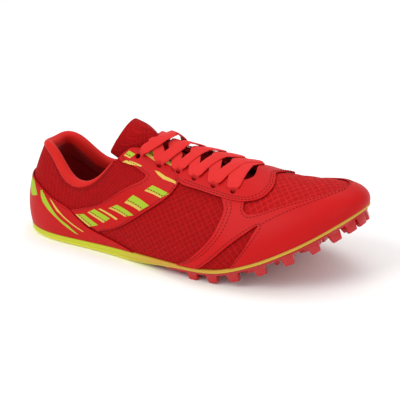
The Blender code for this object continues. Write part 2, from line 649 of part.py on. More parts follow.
# Frame on the plate's upper face: its Z is the face's normal, its X runs forward along it.
def plate_frame(x, y):
    step = 1e-4
    slope = (plate_top(x + step) - plate_top(x - step)) / (2 * step)
    forward = Vector((1, 0, float(slope))).normalized()
    normal = forward.cross(Vector((0, 1, 0))).normalized()
    frame = Matrix((forward, Vector((0, 1, 0)), normal)).transposed().to_4x4()
    frame.translation = (x, y, float(plate_top(x)))
    return frame


def lug(name, collection, x, y, turn, size):
    form = bmesh.new()
    bmesh.ops.create_cube(form, size=1.0)
    for vert in form.verts:
        tip = LUG_TIP if vert.co.z < 0 else 1.0
        vert.co.x *= LUG_LENGTH * size * (tip if vert.co.z > 0 else 0.70)
        vert.co.y *= LUG_WIDTH * size * tip
        vert.co.z = -LUG_HEIGHT - PLATE if vert.co.z < 0 else -PLATE * 0.5
    made = add_object(name, mesh_from(name, form), collection)
    made.matrix_world = plate_frame(x, y) @ Matrix.Rotation(math.radians(turn), 4, "Z")
    return made


def rib(name, collection, points):
    path = [plan_point(*point) for point in points]
    fine = []
    for start, end in zip(path, path[1:]):
        steps = max(1, round(math.dist(start, end) / 0.018))
        fine += [tuple(np.array(start) + (np.array(end) - np.array(start)) * i / steps) for i in range(steps)]
    fine.append(path[-1])
    rings = []
    for i, point in enumerate(fine):
        before, after = fine[max(i - 1, 0)], fine[min(i + 1, len(fine) - 1)]
        along = np.array(after) - np.array(before)
        across = np.array((-along[1], along[0])) / np.linalg.norm(along)
        frame = plate_frame(*point)
        local = frame.to_3x3().inverted() @ Vector((*across, 0))
        local.z = 0
        local.normalize()
        ring = []
        for offset, depth in ((-0.5, PLATE * 0.5), (-0.32, PLATE + RIB_HEIGHT), (0.32, PLATE + RIB_HEIGHT),
                              (0.5, PLATE * 0.5)):
            ring.append(frame @ (local * offset * RIB_WIDTH + Vector((0, 0, -depth))))
        rings.append(ring)
    return add_object(name, loft(name, rings), collection)


def build_plate(collection, additions, cutters, finish):
    leaf = [plan_point(*row) for row in LEAF]
    windows = [window_outline(*row) for row in WINDOWS]
    form = flat_solid([plate_outline(), leaf] + windows, 0.5)
    slice_form(form, "x", sole_slices())
    bmesh.ops.triangulate(form, faces=form.faces)
    for vert in form.verts:
        depth = PLATE if vert.co.z < 0 else 0.0
        vert.co = plate_frame(vert.co.x, vert.co.y) @ Vector((0, 0, -depth))
    plate = add_object("spike_plate", mesh_from("spike_plate", form), collection, finish)
    for i, place in enumerate(SEATS):
        mesh = bpy.data.meshes.new("boss")
        form = bmesh.new()
        bmesh.ops.create_cone(form, cap_ends=True, segments=ROUND_STEPS, radius1=BOSS_RADIUS * 0.93, radius2=BOSS_RADIUS,
                              depth=BOSS_HEIGHT + PLATE * 0.5)
        form.to_mesh(mesh)
        form.free()
        boss = add_object(f"boss_{i + 1}", mesh, additions)
        middle = -PLATE * 0.5 - (BOSS_HEIGHT + PLATE * 0.5) / 2
        boss.matrix_world = plate_frame(*plan_point(*place)) @ Matrix.Translation((0, 0, middle))
    for i, (_, points) in enumerate(RIBS):
        rib(f"rib_{i + 1}", additions, points)
    for i, (share_x, share_y, turn, size) in enumerate(LUGS):
        lug(f"field_lug_{i + 1}", additions, *plan_point(share_x, share_y), turn, size)
    for i, (station, side) in enumerate(EDGE_LUGS):
        foot, _, _, _, out = rails(np.array([station]), side)
        inside = foot[0] - (PLATE_INSET + LUG_WIDTH * 0.56) * out[0]
        turn = math.degrees(math.atan2(out[0][1], out[0][0])) + 90
        lug(f"edge_lug_{i + 1}", additions, inside[0], inside[1], turn, 1.0)
    join = plate.modifiers.new("bosses, ribs and lugs", "BOOLEAN")
    join.operand_type = "COLLECTION"
    join.collection = additions
    join.operation = "UNION"
    for i, place in enumerate(SEATS):
        form = bmesh.new()
        depth = SEAT_HEIGHT + 2 * GAP
        bmesh.ops.create_cone(form, cap_ends=True, segments=ROUND_STEPS, radius1=SEAT_RADIUS + GAP,
                              radius2=SEAT_RADIUS + GAP, depth=depth)
        hole = add_object(f"seat_hole_{i + 1}", mesh_from("seat_hole", form), cutters)
        middle = -PLATE - BOSS_HEIGHT - GAP + depth / 2
        hole.matrix_world = plate_frame(*plan_point(*place)) @ Matrix.Translation((0, 0, middle))
    form = bmesh.new()
    bmesh.ops.create_cube(form, size=1.0)
    floor = add_object("floor_cut", mesh_from("floor_cut", form), cutters)
    floor.data.transform(Matrix.Translation((LENGTH / 2, 0, -LUG_HEIGHT)) @ Matrix.Diagonal(
        (2 * LENGTH, LENGTH, 2 * LUG_HEIGHT, 1)))
    cut = plate.modifiers.new("seat holes and floor", "BOOLEAN")
    cut.operand_type = "COLLECTION"
    cut.collection = cutters
    cut.operation = "DIFFERENCE"
    return plate


def build_seats(collection, finish):
    profile = ((SEAT_BORE, 0.0), (SEAT_RADIUS, 0.0), (SEAT_RADIUS, -SEAT_HEIGHT), (SEAT_BORE, -SEAT_HEIGHT))
    for i, place in enumerate(SEATS):
        form = bmesh.new()
        rows = []
        for step in range(ROUND_STEPS):
            turn = math.tau * step / ROUND_STEPS
            rows.append([form.verts.new((r * math.cos(turn), r * math.sin(turn), -h)) for r, h in profile])
        for low, high in zip(rows, rows[1:] + rows[:1]):
            for j in range(len(profile)):
                after = (j + 1) % len(profile)
                form.faces.new((low[j], high[j], high[after], low[after]))
        seat = add_object(f"spike_seat_{i + 1}", mesh_from(f"spike_seat_{i + 1}", form), collection, finish)
        depth = -PLATE - BOSS_HEIGHT + GAP
        seat.matrix_world = plate_frame(*plan_point(*place)) @ Matrix.Translation((0, 0, depth))


def ribbon(name, path, normals):
    rings = []
    for i, point in enumerate(path):
        along = path[min(i + 1, len(path) - 1)] - path[max(i - 1, 0)]
        across = np.cross(normals[i], along)
        across = across / np.linalg.norm(across) * LACE_WIDTH / 2
        up = np.cross(along, across)
        up = up / np.linalg.norm(up) * LACE_THICKNESS / 2
        rings.append([point - across - up, point + across - up, point + across + up, point - across + up])
    return loft(name, rings)


# The lift carries the middle of a run forward and up, over the tongue.
def lace_path(start, end, out, lift):
    steps = np.linspace(0, 1, LACE_POINTS)
    k = start[0] + (end[0] - start[0]) * steps
    v = start[1] + (2 - end[1] - start[1]) * steps
    low, high = over(k, v, np.full(LACE_POINTS, out)), over(k, v, np.full(LACE_POINTS, out + 0.001))
    normals = (high - low) / np.linalg.norm(high - low, axis=1, keepdims=True)
    crown = (1 - (2 * steps - 1) ** 2)[:, None]
    return low + crown * np.array([lift[0], 0, lift[1]]), normals


# Bars between facing eyelets, and the runs under them that join one bar to the next.
def build_lace(collection, additions, finish):
    bar_out = OVERLAY_GAP + GAP + OVERLAY + LACE_THICKNESS * 1.4
    first = None
    for i in range(6):
        path, normals = lace_path(EYELETS_LATERAL[i], EYELETS_MEDIAL[i], bar_out, LACE_LIFTS[i])
        mesh = ribbon(f"bar_{i + 1}", path, normals)
        if first is None:
            first = add_object("lace", mesh, collection, finish)
        else:
            add_object(f"bar_{i + 1}", mesh, additions)
    for i in range(5):
        lift = [(a + b) / 2 for a, b in zip(LACE_LIFTS[i], LACE_LIFTS[i + 1])]
        path, normals = lace_path(EYELETS_LATERAL[i + 1], EYELETS_MEDIAL[i], bar_out - LACE_THICKNESS * 0.7, lift)
        add_object(f"run_{i + 1}", ribbon(f"run_{i + 1}", path, normals), additions)
    join = first.modifiers.new("bars and runs", "BOOLEAN")
    join.operand_type = "COLLECTION"
    join.collection = additions
    join.operation = "UNION"


# Puts the origin on the floor under the middle of the whole shoe.
def centre_on_floor(collection):
    bpy.context.view_layer.update()
    graph = bpy.context.evaluated_depsgraph_get()
    corners = np.array([obj.matrix_world @ Vector(corner) for obj in collection.objects
                        for corner in obj.evaluated_get(graph).bound_box])
    middle = (corners.min(axis=0) + corners.max(axis=0)) / 2
    shift = Matrix.Translation((-middle[0], -middle[1], 0))
    for obj in bpy.data.objects:
        obj.matrix_world = shift @ obj.matrix_world


def main():
    for obj in list(bpy.data.objects):
        bpy.data.objects.remove(obj)
    shoe = new_collection("track spike shoe")
    plate_parts = new_collection("plate additions")
    plate_cuts = new_collection("plate cutters")
    lace_parts = new_collection("lace additions")
    cutters = new_collection("cutters")
    mesh_red = material("open mesh, dark red", (0.40, 0.012, 0.014), 0.8)
    leather_red = material("synthetic leather, red", (0.62, 0.028, 0.026), 0.42)
    lining_red = material("collar lining, red", (0.65, 0.02, 0.012), 0.75)
    lace_red = material("lace, bright red", (0.85, 0.05, 0.045), 0.8)
    foam = material("EVA foam, yellow", (0.86, 0.80, 0.02), 0.55)
    plate_red = material("TPU, red", (0.66, 0.03, 0.035), 0.2)
    steel = material("steel", (0.6, 0.6, 0.6), 0.25, 1.0)
    board = material("insole textile, dark red", (0.30, 0.012, 0.012), 0.85)
    build_upper(shoe, mesh_red)
    build_overlays(shoe, leather_red)
    build_collar(shoe, lining_red)
    build_tongue(shoe, mesh_red)
    build_insole(shoe, board)
    build_midsole(shoe, cutters, foam)
    build_plate(shoe, plate_parts, plate_cuts, plate_red)
    build_seats(shoe, steel)
    build_lace(shoe, lace_parts, lace_red)
    centre_on_floor(shoe)


main()
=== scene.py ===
import math

import bmesh
import bpy
import numpy as np
from mathutils import Matrix, Vector


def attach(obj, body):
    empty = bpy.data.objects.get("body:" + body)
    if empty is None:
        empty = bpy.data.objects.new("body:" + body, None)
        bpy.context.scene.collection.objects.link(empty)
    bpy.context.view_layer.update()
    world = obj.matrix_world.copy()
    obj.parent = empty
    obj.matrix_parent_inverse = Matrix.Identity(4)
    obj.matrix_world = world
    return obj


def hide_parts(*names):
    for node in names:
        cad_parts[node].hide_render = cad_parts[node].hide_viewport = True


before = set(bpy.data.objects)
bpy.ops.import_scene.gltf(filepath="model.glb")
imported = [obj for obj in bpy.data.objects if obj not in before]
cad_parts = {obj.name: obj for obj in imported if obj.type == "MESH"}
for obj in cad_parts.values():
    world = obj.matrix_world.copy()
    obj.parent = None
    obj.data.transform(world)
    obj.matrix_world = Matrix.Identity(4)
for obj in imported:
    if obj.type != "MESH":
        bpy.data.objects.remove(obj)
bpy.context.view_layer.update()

print("frame loaded:", len(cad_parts), "nodes")

# The shoe stands on its sole. X runs to the toe, Y to the big toe side. All lengths are in metres.
shoe = {
    "length": 0.282, "ballLateral": 0.0525, "ballMedial": 0.0440, "collarHalf": 0.0260,
    "instepHeight": 0.0790, "heelStack": 0.0065, "ballStack": 0.0110, "toeSpring": 0.0420,
    "wall": 0.0020, "gap": 0.0003, "overlay": 0.0008, "overlayGap": 0.0007, "foreEdge": 0.0030,
    "waist": (0.37, 0.60), "heelRound": 0.045,  # shares of the length
    "heelRise": 0.35,  # share of the heel stack
    "plate": 0.0014, "plateRise": 0.0036, "plateFade": (0.42, 0.58),
    "stayRaise": 0.0009, "stayFront": (8.1, 8.5), "stayAbove": 0.002,
    "middle": (0.14076, -0.00422, 0.0),  # the floor point under the middle of the whole shoe
}

# The last, a row for each station from heel to toe: shares of the sizes above, flare and lean in degrees, and
# rise and reach as the two handles' lengths in shares of the instep height.
lastColumns = ("latX", "latY", "medX", "medY", "topX", "topY", "latTop", "medTop", "flare", "rise", "lean",
               "reach")
lastRows = (
    (0.000, 0.00, 0.000, 0.00, 0.079, 0.00, 0.863, 0.863, 9, 0.32, 30, 0.28),
    (0.028, 0.37, 0.028, 0.42, 0.086, 0.46, 0.873, 0.873, 9, 0.29, 27, 0.28),
    (0.113, 0.57, 0.106, 0.64, 0.132, 0.73, 0.804, 0.810, 10, 0.25, 13, 0.25),
    (0.227, 0.64, 0.213, 0.63, 0.198, 1.00, 0.590, 0.585, 10, 0.24, 10, 0.23),
    (0.348, 0.72, 0.333, 0.56, 0.290, 0.98, 0.640, 0.660, 8, 0.24, 24, 0.25),
    (0.461, 0.85, 0.447, 0.59, 0.370, 0.50, 0.882, 0.882, 7, 0.24, 50, 0.30),
    (0.560, 0.95, 0.553, 0.75, 0.493, 0.00, 0.862, 0.862, 7, 0.235, 72, 0.34),
    (0.656, 1.00, 0.652, 0.93, 0.603, 0.00, 0.791, 0.791, 8, 0.22, 84, 0.355),
    (0.752, 0.97, 0.748, 1.00, 0.706, 0.00, 0.646, 0.646, 9.5, 0.20, 87, 0.34),
    (0.848, 0.82, 0.848, 0.92, 0.793, 0.00, 0.481, 0.481, 11, 0.185, 88, 0.315),
    (0.926, 0.57, 0.929, 0.69, 0.853, 0.00, 0.327, 0.327, 12.5, 0.165, 90, 0.28),
    (0.980, 0.27, 0.980, 0.41, 0.887, 0.00, 0.213, 0.213, 13.5, 0.145, 90, 0.24),
    (1.000, -0.04, 1.000, 0.045, 0.901, 0.00, 0.165, 0.165, 14, 0.13, 90, 0.20),
)
stations = len(lastRows) - 1
# Height of the sole's upper edge: share of the length, of the stack's growth and of the toe spring.
sideLineRows = (
    (0.00, 0.18, 0.0), (0.11, 0.00, 0.0), (0.25, 0.09, 0.0), (0.39, 0.40, 0.0), (0.52, 0.78, 0.0),
    (0.62, 0.96, 0.0), (0.68, 1.00, 0.035), (0.762, 1.00, 0.19), (0.887, 1.00, 0.56), (1.0, 1.0, 1.0),
)

# Soft troughs (below zero) and ridges: side, start and end as station and share of the section, then width
# and depth in mm. A station is about 24 mm long and a section about 95 mm high.
stationLength, sectionHeight = 24, 95
creases = (
    (-1, 9.05, 0.62, 9.15, 1.00, 4.5, -0.55), (1, 9.05, 0.62, 9.15, 1.00, 4.5, -0.55),
    (-1, 9.65, 0.66, 9.75, 1.00, 4.0, -0.30), (1, 9.60, 0.64, 9.75, 1.00, 4.0, -0.35),
    (-1, 2.40, 0.62, 3.30, 0.78, 6.0, -0.60), (1, 2.50, 0.60, 3.40, 0.76, 6.0, -0.60),
    (-1, 4.00, 0.68, 5.10, 0.80, 6.0, -0.50), (-1, 4.70, 0.22, 5.90, 0.16, 8.0, -0.45),
    (-1, 5.70, 0.50, 6.90, 0.36, 8.0, 0.35), (1, 4.60, 0.40, 5.80, 0.24, 8.0, -0.55),
    (-1, 7.60, 0.44, 8.30, 0.30, 6.0, -0.30), (1, 7.40, 0.46, 8.20, 0.30, 7.0, -0.40),
    (-1, 1.20, 0.30, 2.00, 0.16, 7.0, -0.30), (1, 1.00, 0.36, 2.10, 0.18, 8.0, -0.30),
)


def column(name):
    return np.array([row[lastColumns.index(name)] for row in lastRows], dtype=float)


# Cubic spline through evenly spaced values; an end is level where the flag is set.
def spline(values, at, levelStart=True, levelEnd=True):
    values = np.asarray(values, dtype=float)
    count = len(values)
    matrix, right = np.zeros((count, count)), np.zeros(count)
    for i in range(1, count - 1):
        matrix[i, i - 1:i + 2] = (1, 4, 1)
        right[i] = 6 * (values[i - 1] - 2 * values[i] + values[i + 1])
    matrix[0, :2] = (2, 1) if levelStart else (1, 0)
    right[0] = 6 * (values[1] - values[0]) if levelStart else 0
    matrix[-1, -2:] = (1, 2) if levelEnd else (0, 1)
    right[-1] = 6 * (values[-2] - values[-1]) if levelEnd else 0
    bend = np.linalg.solve(matrix, right)
    at = np.asarray(at, dtype=float)
    index = np.clip(np.floor(at).astype(int), 0, count - 2)
    t = at - index
    straight = values[index] * (1 - t) + values[index + 1] * t
    return straight + (((1 - t) ** 3 - 1 + t) * bend[index] + (t ** 3 - t) * bend[index + 1]) / 6


# Smooth curve through points of unequal spacing that never overshoots them.
def flowing(xs, ys, x):
    xs, ys = np.asarray(xs, dtype=float), np.asarray(ys, dtype=float)
    steps = np.diff(xs)
    slopes = np.diff(ys) / steps
    tangent = np.zeros(len(xs))
    for i in range(1, len(xs) - 1):
        if slopes[i - 1] * slopes[i] > 0:
            tangent[i] = 2 * slopes[i - 1] * slopes[i] / (slopes[i - 1] + slopes[i])
    tangent[0], tangent[-1] = slopes[0], slopes[-1]
    x = np.asarray(x, dtype=float)
    i = np.clip(np.searchsorted(xs, x) - 1, 0, len(xs) - 2)
    t = (x - xs[i]) / steps[i]
    inside = ((1 + 2 * t) * (1 - t) ** 2 * ys[i] + t * (1 - t) ** 2 * steps[i] * tangent[i]
              + t * t * (3 - 2 * t) * ys[i + 1] + t * t * (t - 1) * steps[i] * tangent[i + 1])
    return np.where(x > xs[-1], ys[-1] + (x - xs[-1]) * tangent[-1], inside)


def smoothStep(x, start, end):
    t = np.clip((np.asarray(x, dtype=float) - start) / (end - start), 0, 1)
    return t * t * (3 - 2 * t)


def unit(vectors):
    return vectors / np.linalg.norm(vectors, axis=-1, keepdims=True)


def atSeam(k):
    return (k < 1e-6) | (k > stations - 1e-6)


def sideLine(x):
    share, stack, spring = np.array(sideLineRows).T
    heights = shoe["heelStack"] + stack * (shoe["ballStack"] - shoe["heelStack"]) + spring * shoe["toeSpring"]
    return flowing(share * shoe["length"], heights, x)


def soleBottom(x):
    x = np.asarray(x, dtype=float)
    length = shoe["length"]
    start, end = shoe["waist"]
    lifted = smoothStep(x, start * length, end * length) * (sideLine(x) - shoe["foreEdge"])
    rounded = np.clip(1 - x / (shoe["heelRound"] * length), 0, 1) ** 2
    return lifted + shoe["heelRise"] * shoe["heelStack"] * rounded


def plateTop(x):
    length, gap = shoe["length"], shoe["gap"]
    start, end = shoe["plateFade"]
    fade = 1 - smoothStep(x, start * length, end * length)
    return soleBottom(x) - 2 * gap + (shoe["plateRise"] + 2 * gap) * fade


# Foot outline, two handles and top rail of one section. Side is -1 lateral, 1 medial.
def rails(k, side):
    k = np.asarray(k, dtype=float)
    half, name = (shoe["ballLateral"], "lat") if side < 0 else (shoe["ballMedial"], "med")
    planX, planY = column(name + "X") * shoe["length"], column(name + "Y") * half * side
    low, high = np.clip(k - 1e-3, 0, stations), np.clip(k + 1e-3, 0, stations)
    x, y = spline(planX, k), spline(planY, k, False, False)
    outX = (spline(planY, high, False, False) - spline(planY, low, False, False)) * side * -1
    outY = (spline(planX, high) - spline(planX, low)) * side
    norm = np.hypot(outX, outY)
    outward = np.stack([outX / norm, outY / norm, np.zeros_like(x)], -1)
    foot = np.stack([x, y, sideLine(x)], -1)
    topX = spline(column("topX"), k) * shoe["length"]
    opening = spline(column("topY")[:7], np.minimum(k, 6), False, False)
    topY = np.where(k >= 6, 0, np.maximum(opening, 0)) * shoe["collarHalf"] * side
    base = sideLine(spline(column("latX") * shoe["length"], k))
    top = np.stack([topX, topY, base + spline(column(name + "Top"), k) * shoe["instepHeight"]], -1)
    flare = np.radians(spline(column("flare"), k))[..., None]
    lean = np.radians(spline(column("lean"), k))[..., None]
    rise = spline(column("rise"), k)[..., None] * shoe["instepHeight"]
    reach = spline(column("reach"), k)[..., None] * shoe["instepHeight"]
    up = np.array([0.0, 0.0, 1.0])
    toward = (foot - top) * np.array([1, 1, 0])
    toward = toward / np.maximum(np.linalg.norm(toward, axis=-1, keepdims=True), 1e-9)
    blend = np.clip((k - 3) / 2.5, 0, 1)[..., None]
    toward = toward * blend + outward * (1 - blend)
    toward = unit(toward)
    lower = foot + rise * (np.sin(flare) * outward + np.cos(flare) * up)
    upper = top + reach * (np.sin(lean) * toward - np.cos(lean) * up)
    return foot, lower, upper, top, outward


def sectionPoint(k, w, side):
    foot, lower, upper, top, _ = rails(k, side)
    w = np.asarray(w, dtype=float)[..., None]
    return (1 - w) ** 3 * foot + 3 * (1 - w) ** 2 * w * lower + 3 * (1 - w) * w * w * upper + w ** 3 * top


# Height of the creases at a place on the last.
def relief(k, w, side):
    height = np.zeros(np.shape(k))
    for creaseSide, k1, w1, k2, w2, width, depth in creases:
        if creaseSide != side:
            continue
        start = np.array((k1 * stationLength, w1 * sectionHeight))
        run = np.array(((k2 - k1) * stationLength, (w2 - w1) * sectionHeight))
        px, pw = k * stationLength - start[0], w * sectionHeight - start[1]
        t = (px * run[0] + pw * run[1]) / (run @ run)
        inside = np.clip(t, 0, 1)
        away = np.hypot(px - inside * run[0], pw - inside * run[1])
        fade = np.sin(math.pi * (0.12 + 0.76 * inside))
        height = height + depth / 1000 * fade * np.exp(-(away / width) ** 2)
    rim = smoothStep(w, 0.0, 0.10) * np.where(k > 6, 1 - 0.5 * smoothStep(w, 0.92, 1.0), 1)
    return height * rim * smoothStep(k, 0.0, 0.4) * (1 - smoothStep(k, 11.4, 12.0))


def lastPoint(k, w, side, out):
    step = 2e-3
    k, w = np.asarray(k, dtype=float), np.asarray(w, dtype=float)
    along = (sectionPoint(np.clip(k + step, 0, stations), w, side)
             - sectionPoint(np.clip(k - step, 0, stations), w, side))
    upward = (sectionPoint(k, np.clip(w + step, 0, 1), side)
              - sectionPoint(k, np.clip(w - step, 0, 1), side))
    normal = np.cross(along, upward) * -side
    normal[..., 1] = np.where(atSeam(k), 0, normal[..., 1])
    lifted = (np.asarray(out) + relief(k, w, side))[..., None] * unit(normal)
    return sectionPoint(k, w, side) + lifted - np.array(shoe["middle"])


# Over the instep: v runs 0 to 1 up the lateral side and 1 to 2 down the medial side.
def over(k, v, out):
    k, v = np.asarray(k, dtype=float), np.asarray(v, dtype=float)
    lateral = lastPoint(k, np.minimum(v, 1), -1, out)
    medial = lastPoint(k, np.clip(2 - v, 0, 1), 1, out)
    medial = np.where(atSeam(k)[..., None], lastPoint(k, np.clip(2 - v, 0, 1), -1, out), medial)
    return np.where((v <= 1)[..., None], lateral, medial)


# Round the heel or toe: u is the lateral station, past the toe or below zero on the medial side.
def around(u, w, out):
    u, w = np.asarray(u, dtype=float), np.asarray(w, dtype=float)
    station = np.where(u < 0, -u, np.where(u > stations, 2 * stations - u, u))
    medial = (u < 0) | (u > stations)
    return np.where(medial[..., None], lastPoint(station, w, 1, out), lastPoint(station, w, -1, out))


def normalsOf(wrap, k, v, out):
    return unit(wrap(k, v, out + 0.001) - wrap(k, v, out))


# Catmull-Rom curve through given points, a share of the way in between them.
def smoothRun(points, steps=6):
    points = [np.array(p, dtype=float) for p in points]
    if len(points) < 3:
        return points
    padded = [2 * points[0] - points[1]] + points + [2 * points[-1] - points[-2]]
    curve = []
    for a, b, c, d in zip(padded, padded[1:], padded[2:], padded[3:]):
        for i in range(steps):
            t = i / steps
            curve.append(0.5 * (2 * b + (c - a) * t + (2 * a - 5 * b + 4 * c - d) * t * t
                                + (3 * b - a - 3 * c + d) * t ** 3))
    return curve + [points[-1]]


# Runs of points, smooth inside and with a corner where one run ends and the next starts.
def outlineOf(*runs, steps=6):
    outline = []
    for run in runs:
        curve = smoothRun(run, steps)
        if outline and np.allclose(outline[-1], curve[0], atol=1e-6):
            curve = curve[1:]
        outline += curve
    if np.allclose(outline[0], outline[-1], atol=1e-6):
        outline = outline[:-1]
    return [tuple(float(c) for c in p) for p in outline]


# The same outline on the inner side, laid by over or by around.
def mirrored(points):
    return [(p[0], 2 - p[1]) for p in reversed(points)]


def mirroredRound(points):
    return [(-p[0], p[1]) for p in reversed(points)]


# Cuts across a sheet, closer together where the heel and the toe are round.
def stationLines(first, last):
    perStation = [12, 9, 8, 8, 8, 8, 7, 7, 7, 7, 10, 14]
    lines = []
    for whole in range(-stations, 2 * stations):
        station = whole if 0 <= whole < stations else (-whole - 1 if whole < 0 else 2 * stations - 1 - whole)
        steps = perStation[station]
        lines += [whole + i / steps for i in range(steps)]
    return [line for line in lines if first + 1e-6 < line < last - 1e-6]


def shareLines(first, last, count=26):
    return [i / count for i in range(-1, 2 * count + 1) if first + 1e-6 < i / count < last - 1e-6]


def selectOnly(obj):
    for other in bpy.context.selected_objects:
        other.select_set(False)
    obj.select_set(True)
    bpy.context.view_layer.objects.active = obj


def addModifier(obj, kind, **settings):
    modifier = obj.modifiers.new(kind.title(), kind)
    for name, value in settings.items():
        setattr(modifier, name, value)
    return modifier


def applyAll(obj):
    selectOnly(obj)
    for modifier in list(obj.modifiers):
        bpy.ops.object.modifier_apply(modifier=modifier.name)


# Edit mode operators with their settings, each run on the whole mesh.
def editAll(obj, steps):
    selectOnly(obj)
    bpy.ops.object.mode_set(mode="EDIT")
    for operator, settings in steps:
        bpy.ops.mesh.select_all(action="SELECT")
        operator(**settings)
    bpy.ops.object.mode_set(mode="OBJECT")


def shadeByAngle(obj, degrees):
    selectOnly(obj)
    bpy.ops.object.shade_smooth_by_angle(angle=math.radians(degrees))


def linked(name, data):
    obj = bpy.data.objects.new(name, data)
    bpy.context.scene.collection.objects.link(obj)
    return obj


def joined(parts, finish=None):
    selectOnly(parts[0])
    for part in parts[1:]:
        part.select_set(True)
    bpy.ops.object.join()
    if finish:
        parts[0].data.materials.clear()
        parts[0].data.materials.append(finish)
    return parts[0]


def formObject(name, form):
    bmesh.ops.recalc_face_normals(form, faces=form.faces)
    mesh = bpy.data.meshes.new(name)
    form.to_mesh(mesh)
    form.free()
    return linked(name, mesh)


def meshObject(name, form, finishes):
    obj = formObject(name, form)
    for finish in finishes:
        obj.data.materials.append(finish)
    shadeByAngle(obj, 40)
    return obj


# Flat filled curve with holes, as a mesh cut along the station and share lines.
def flatSheet(name, outlines, kLines, vLines):
    curve = bpy.data.curves.new(name, "CURVE")
    curve.dimensions = "2D"
    curve.fill_mode = "BOTH"
    for outline in outlines:
        line = curve.splines.new("POLY")
        line.points.add(len(outline) - 1)
        for point, (k, v) in zip(line.points, outline):
            point.co = (k, v, 0, 1)
        line.use_cyclic_u = True
    obj = linked(name, curve)
    selectOnly(obj)
    bpy.ops.object.convert(target="MESH")
    steps = [(bpy.ops.mesh.remove_doubles, {"threshold": 1e-6}),
             (bpy.ops.mesh.dissolve_limited, {"angle_limit": 0.001})]
    for place, axis in [(k, (1, 0, 0)) for k in kLines] + [(v, (0, 1, 0)) for v in vLines]:
        plane = {"plane_co": tuple(place * a for a in axis), "plane_no": axis, "threshold": 1e-6}
        steps.append((bpy.ops.mesh.bisect, plane))
    editAll(obj, steps)
    return obj


# Lengths over the surface, along the stations and up the section, for patterns in real millimetres.
arcSteps, arcShares = 8, 40  # for each station, and up the section


def arcTables():
    ks, ws = np.linspace(0, stations, stations * arcSteps + 1), np.linspace(0, 1, arcShares + 1)
    tables = {}
    for side in (-1, 1):
        grid = lastPoint(*np.meshgrid(ks, ws, indexing="ij"), side, np.zeros((len(ks), len(ws))))
        alongK = np.linalg.norm(np.diff(grid, axis=0), axis=-1)
        alongW = np.linalg.norm(np.diff(grid, axis=1), axis=-1)
        tables[side] = (np.vstack([np.zeros((1, len(ws))), np.cumsum(alongK, 0)]),
                        np.hstack([np.zeros((len(ks), 1)), np.cumsum(alongW, 1)]))
    return tables


arcs = arcTables()


def surfaceLengths(k, w, side):
    gridK, gridW = np.clip(k, 0, stations) * arcSteps, np.clip(w, 0, 1) * arcShares
    i = np.minimum(gridK.astype(int), stations * arcSteps - 1)
    j = np.minimum(gridW.astype(int), arcShares - 1)
    a, b = gridK - i, gridW - j
    values = []
    for table in arcs[side]:
        values.append((table[i, j] * (1 - a) + table[i + 1, j] * a) * (1 - b)
                      + (table[i, j + 1] * (1 - a) + table[i + 1, j + 1] * a) * b)
    return values


# The eyestay lies on the sash and the strap, over 2 mm off the last, and settles on the vamp before them.
def settled(k, out):
    heights = np.full(len(k), out)
    if out <= shoe["stayAbove"]:
        return heights
    return heights - shoe["stayRaise"] * smoothStep(k, *shoe["stayFront"])


# Lays a flat sheet on the last and gives it a UV map in metres over the surface.
def layOnLast(obj, wrap, out):
    mesh = obj.data
    flat = np.empty(len(mesh.vertices) * 3)
    mesh.vertices.foreach_get("co", flat)
    flat = flat.reshape(-1, 3)
    k, v = flat[:, 0], flat[:, 1]
    if wrap is over:
        station, share, medial = k, np.where(v > 1, 2 - v, v), v > 1
    else:
        station = np.where(k < 0, -k, np.where(k > stations, 2 * stations - k, k))
        share, medial = v, (k < 0) | (k > stations)
    lengths = [np.where(medial, m, l) for l, m in zip(surfaceLengths(station, share, -1),
                                                      surfaceLengths(station, share, 1))]
    uv = np.stack([lengths[0], np.where(medial, 0.5 - lengths[1], lengths[1])], -1)
    layer = mesh.uv_layers.new(name="surface")
    corners = np.empty(len(mesh.loops), dtype=np.int32)
    mesh.loops.foreach_get("vertex_index", corners)
    layer.data.foreach_set("uv", uv[corners].ravel())
    places = wrap(k, v, settled(k, out))
    outward = wrap(k, v, settled(k, out) + 0.001) - places
    mesh.vertices.foreach_set("co", places.ravel())
    mesh.update()
    facing = sum(face.area * face.normal.dot(Vector(outward[face.vertices[0]])) for face in mesh.polygons)
    if facing < 0:
        mesh.flip_normals()


def finishSheet(obj, finishes, thickness, bevel=0.0, weld=False):
    if weld:
        editAll(obj, [(bpy.ops.mesh.remove_doubles, {"threshold": 2e-5})])
    for finish in finishes:
        obj.data.materials.append(finish)
    addModifier(obj, "SOLIDIFY", thickness=thickness, offset=-1, use_even_offset=False,
                material_offset=len(finishes) - 1 if weld else 0)
    if bevel:
        addModifier(obj, "BEVEL", width=bevel, segments=2, limit_method="ANGLE", angle_limit=math.radians(60))
    applyAll(obj)
    shadeByAngle(obj, 50)


# One leather, cloth or printed piece: an outline in stations and shares, laid at a height off the last.
def laidPiece(name, outlines, wrap, out, thickness, finishes, bevel=0.0):
    ks = [p[0] for p in outlines[0]]
    vs = [p[1] for p in outlines[0]]
    obj = flatSheet(name, outlines, stationLines(min(ks), max(ks)), shareLines(min(vs), max(vs)))
    layOnLast(obj, wrap, out + thickness)
    finishSheet(obj, finishes, thickness, bevel)
    return obj


def hexColour(code):
    values = [int(code[i:i + 2], 16) / 255 for i in (1, 3, 5)]
    return tuple(c / 12.92 if c <= 0.04045 else ((c + 0.055) / 1.055) ** 2.4 for c in values) + (1.0,)


def startMaterial(name, **sockets):
    made = bpy.data.materials.new(name)
    made.use_nodes = True
    shader = made.node_tree.nodes["Principled BSDF"]
    for socket, value in sockets.items():
        shader.inputs[socket.replace("_", " ")].default_value = value
    return made, made.node_tree, shader


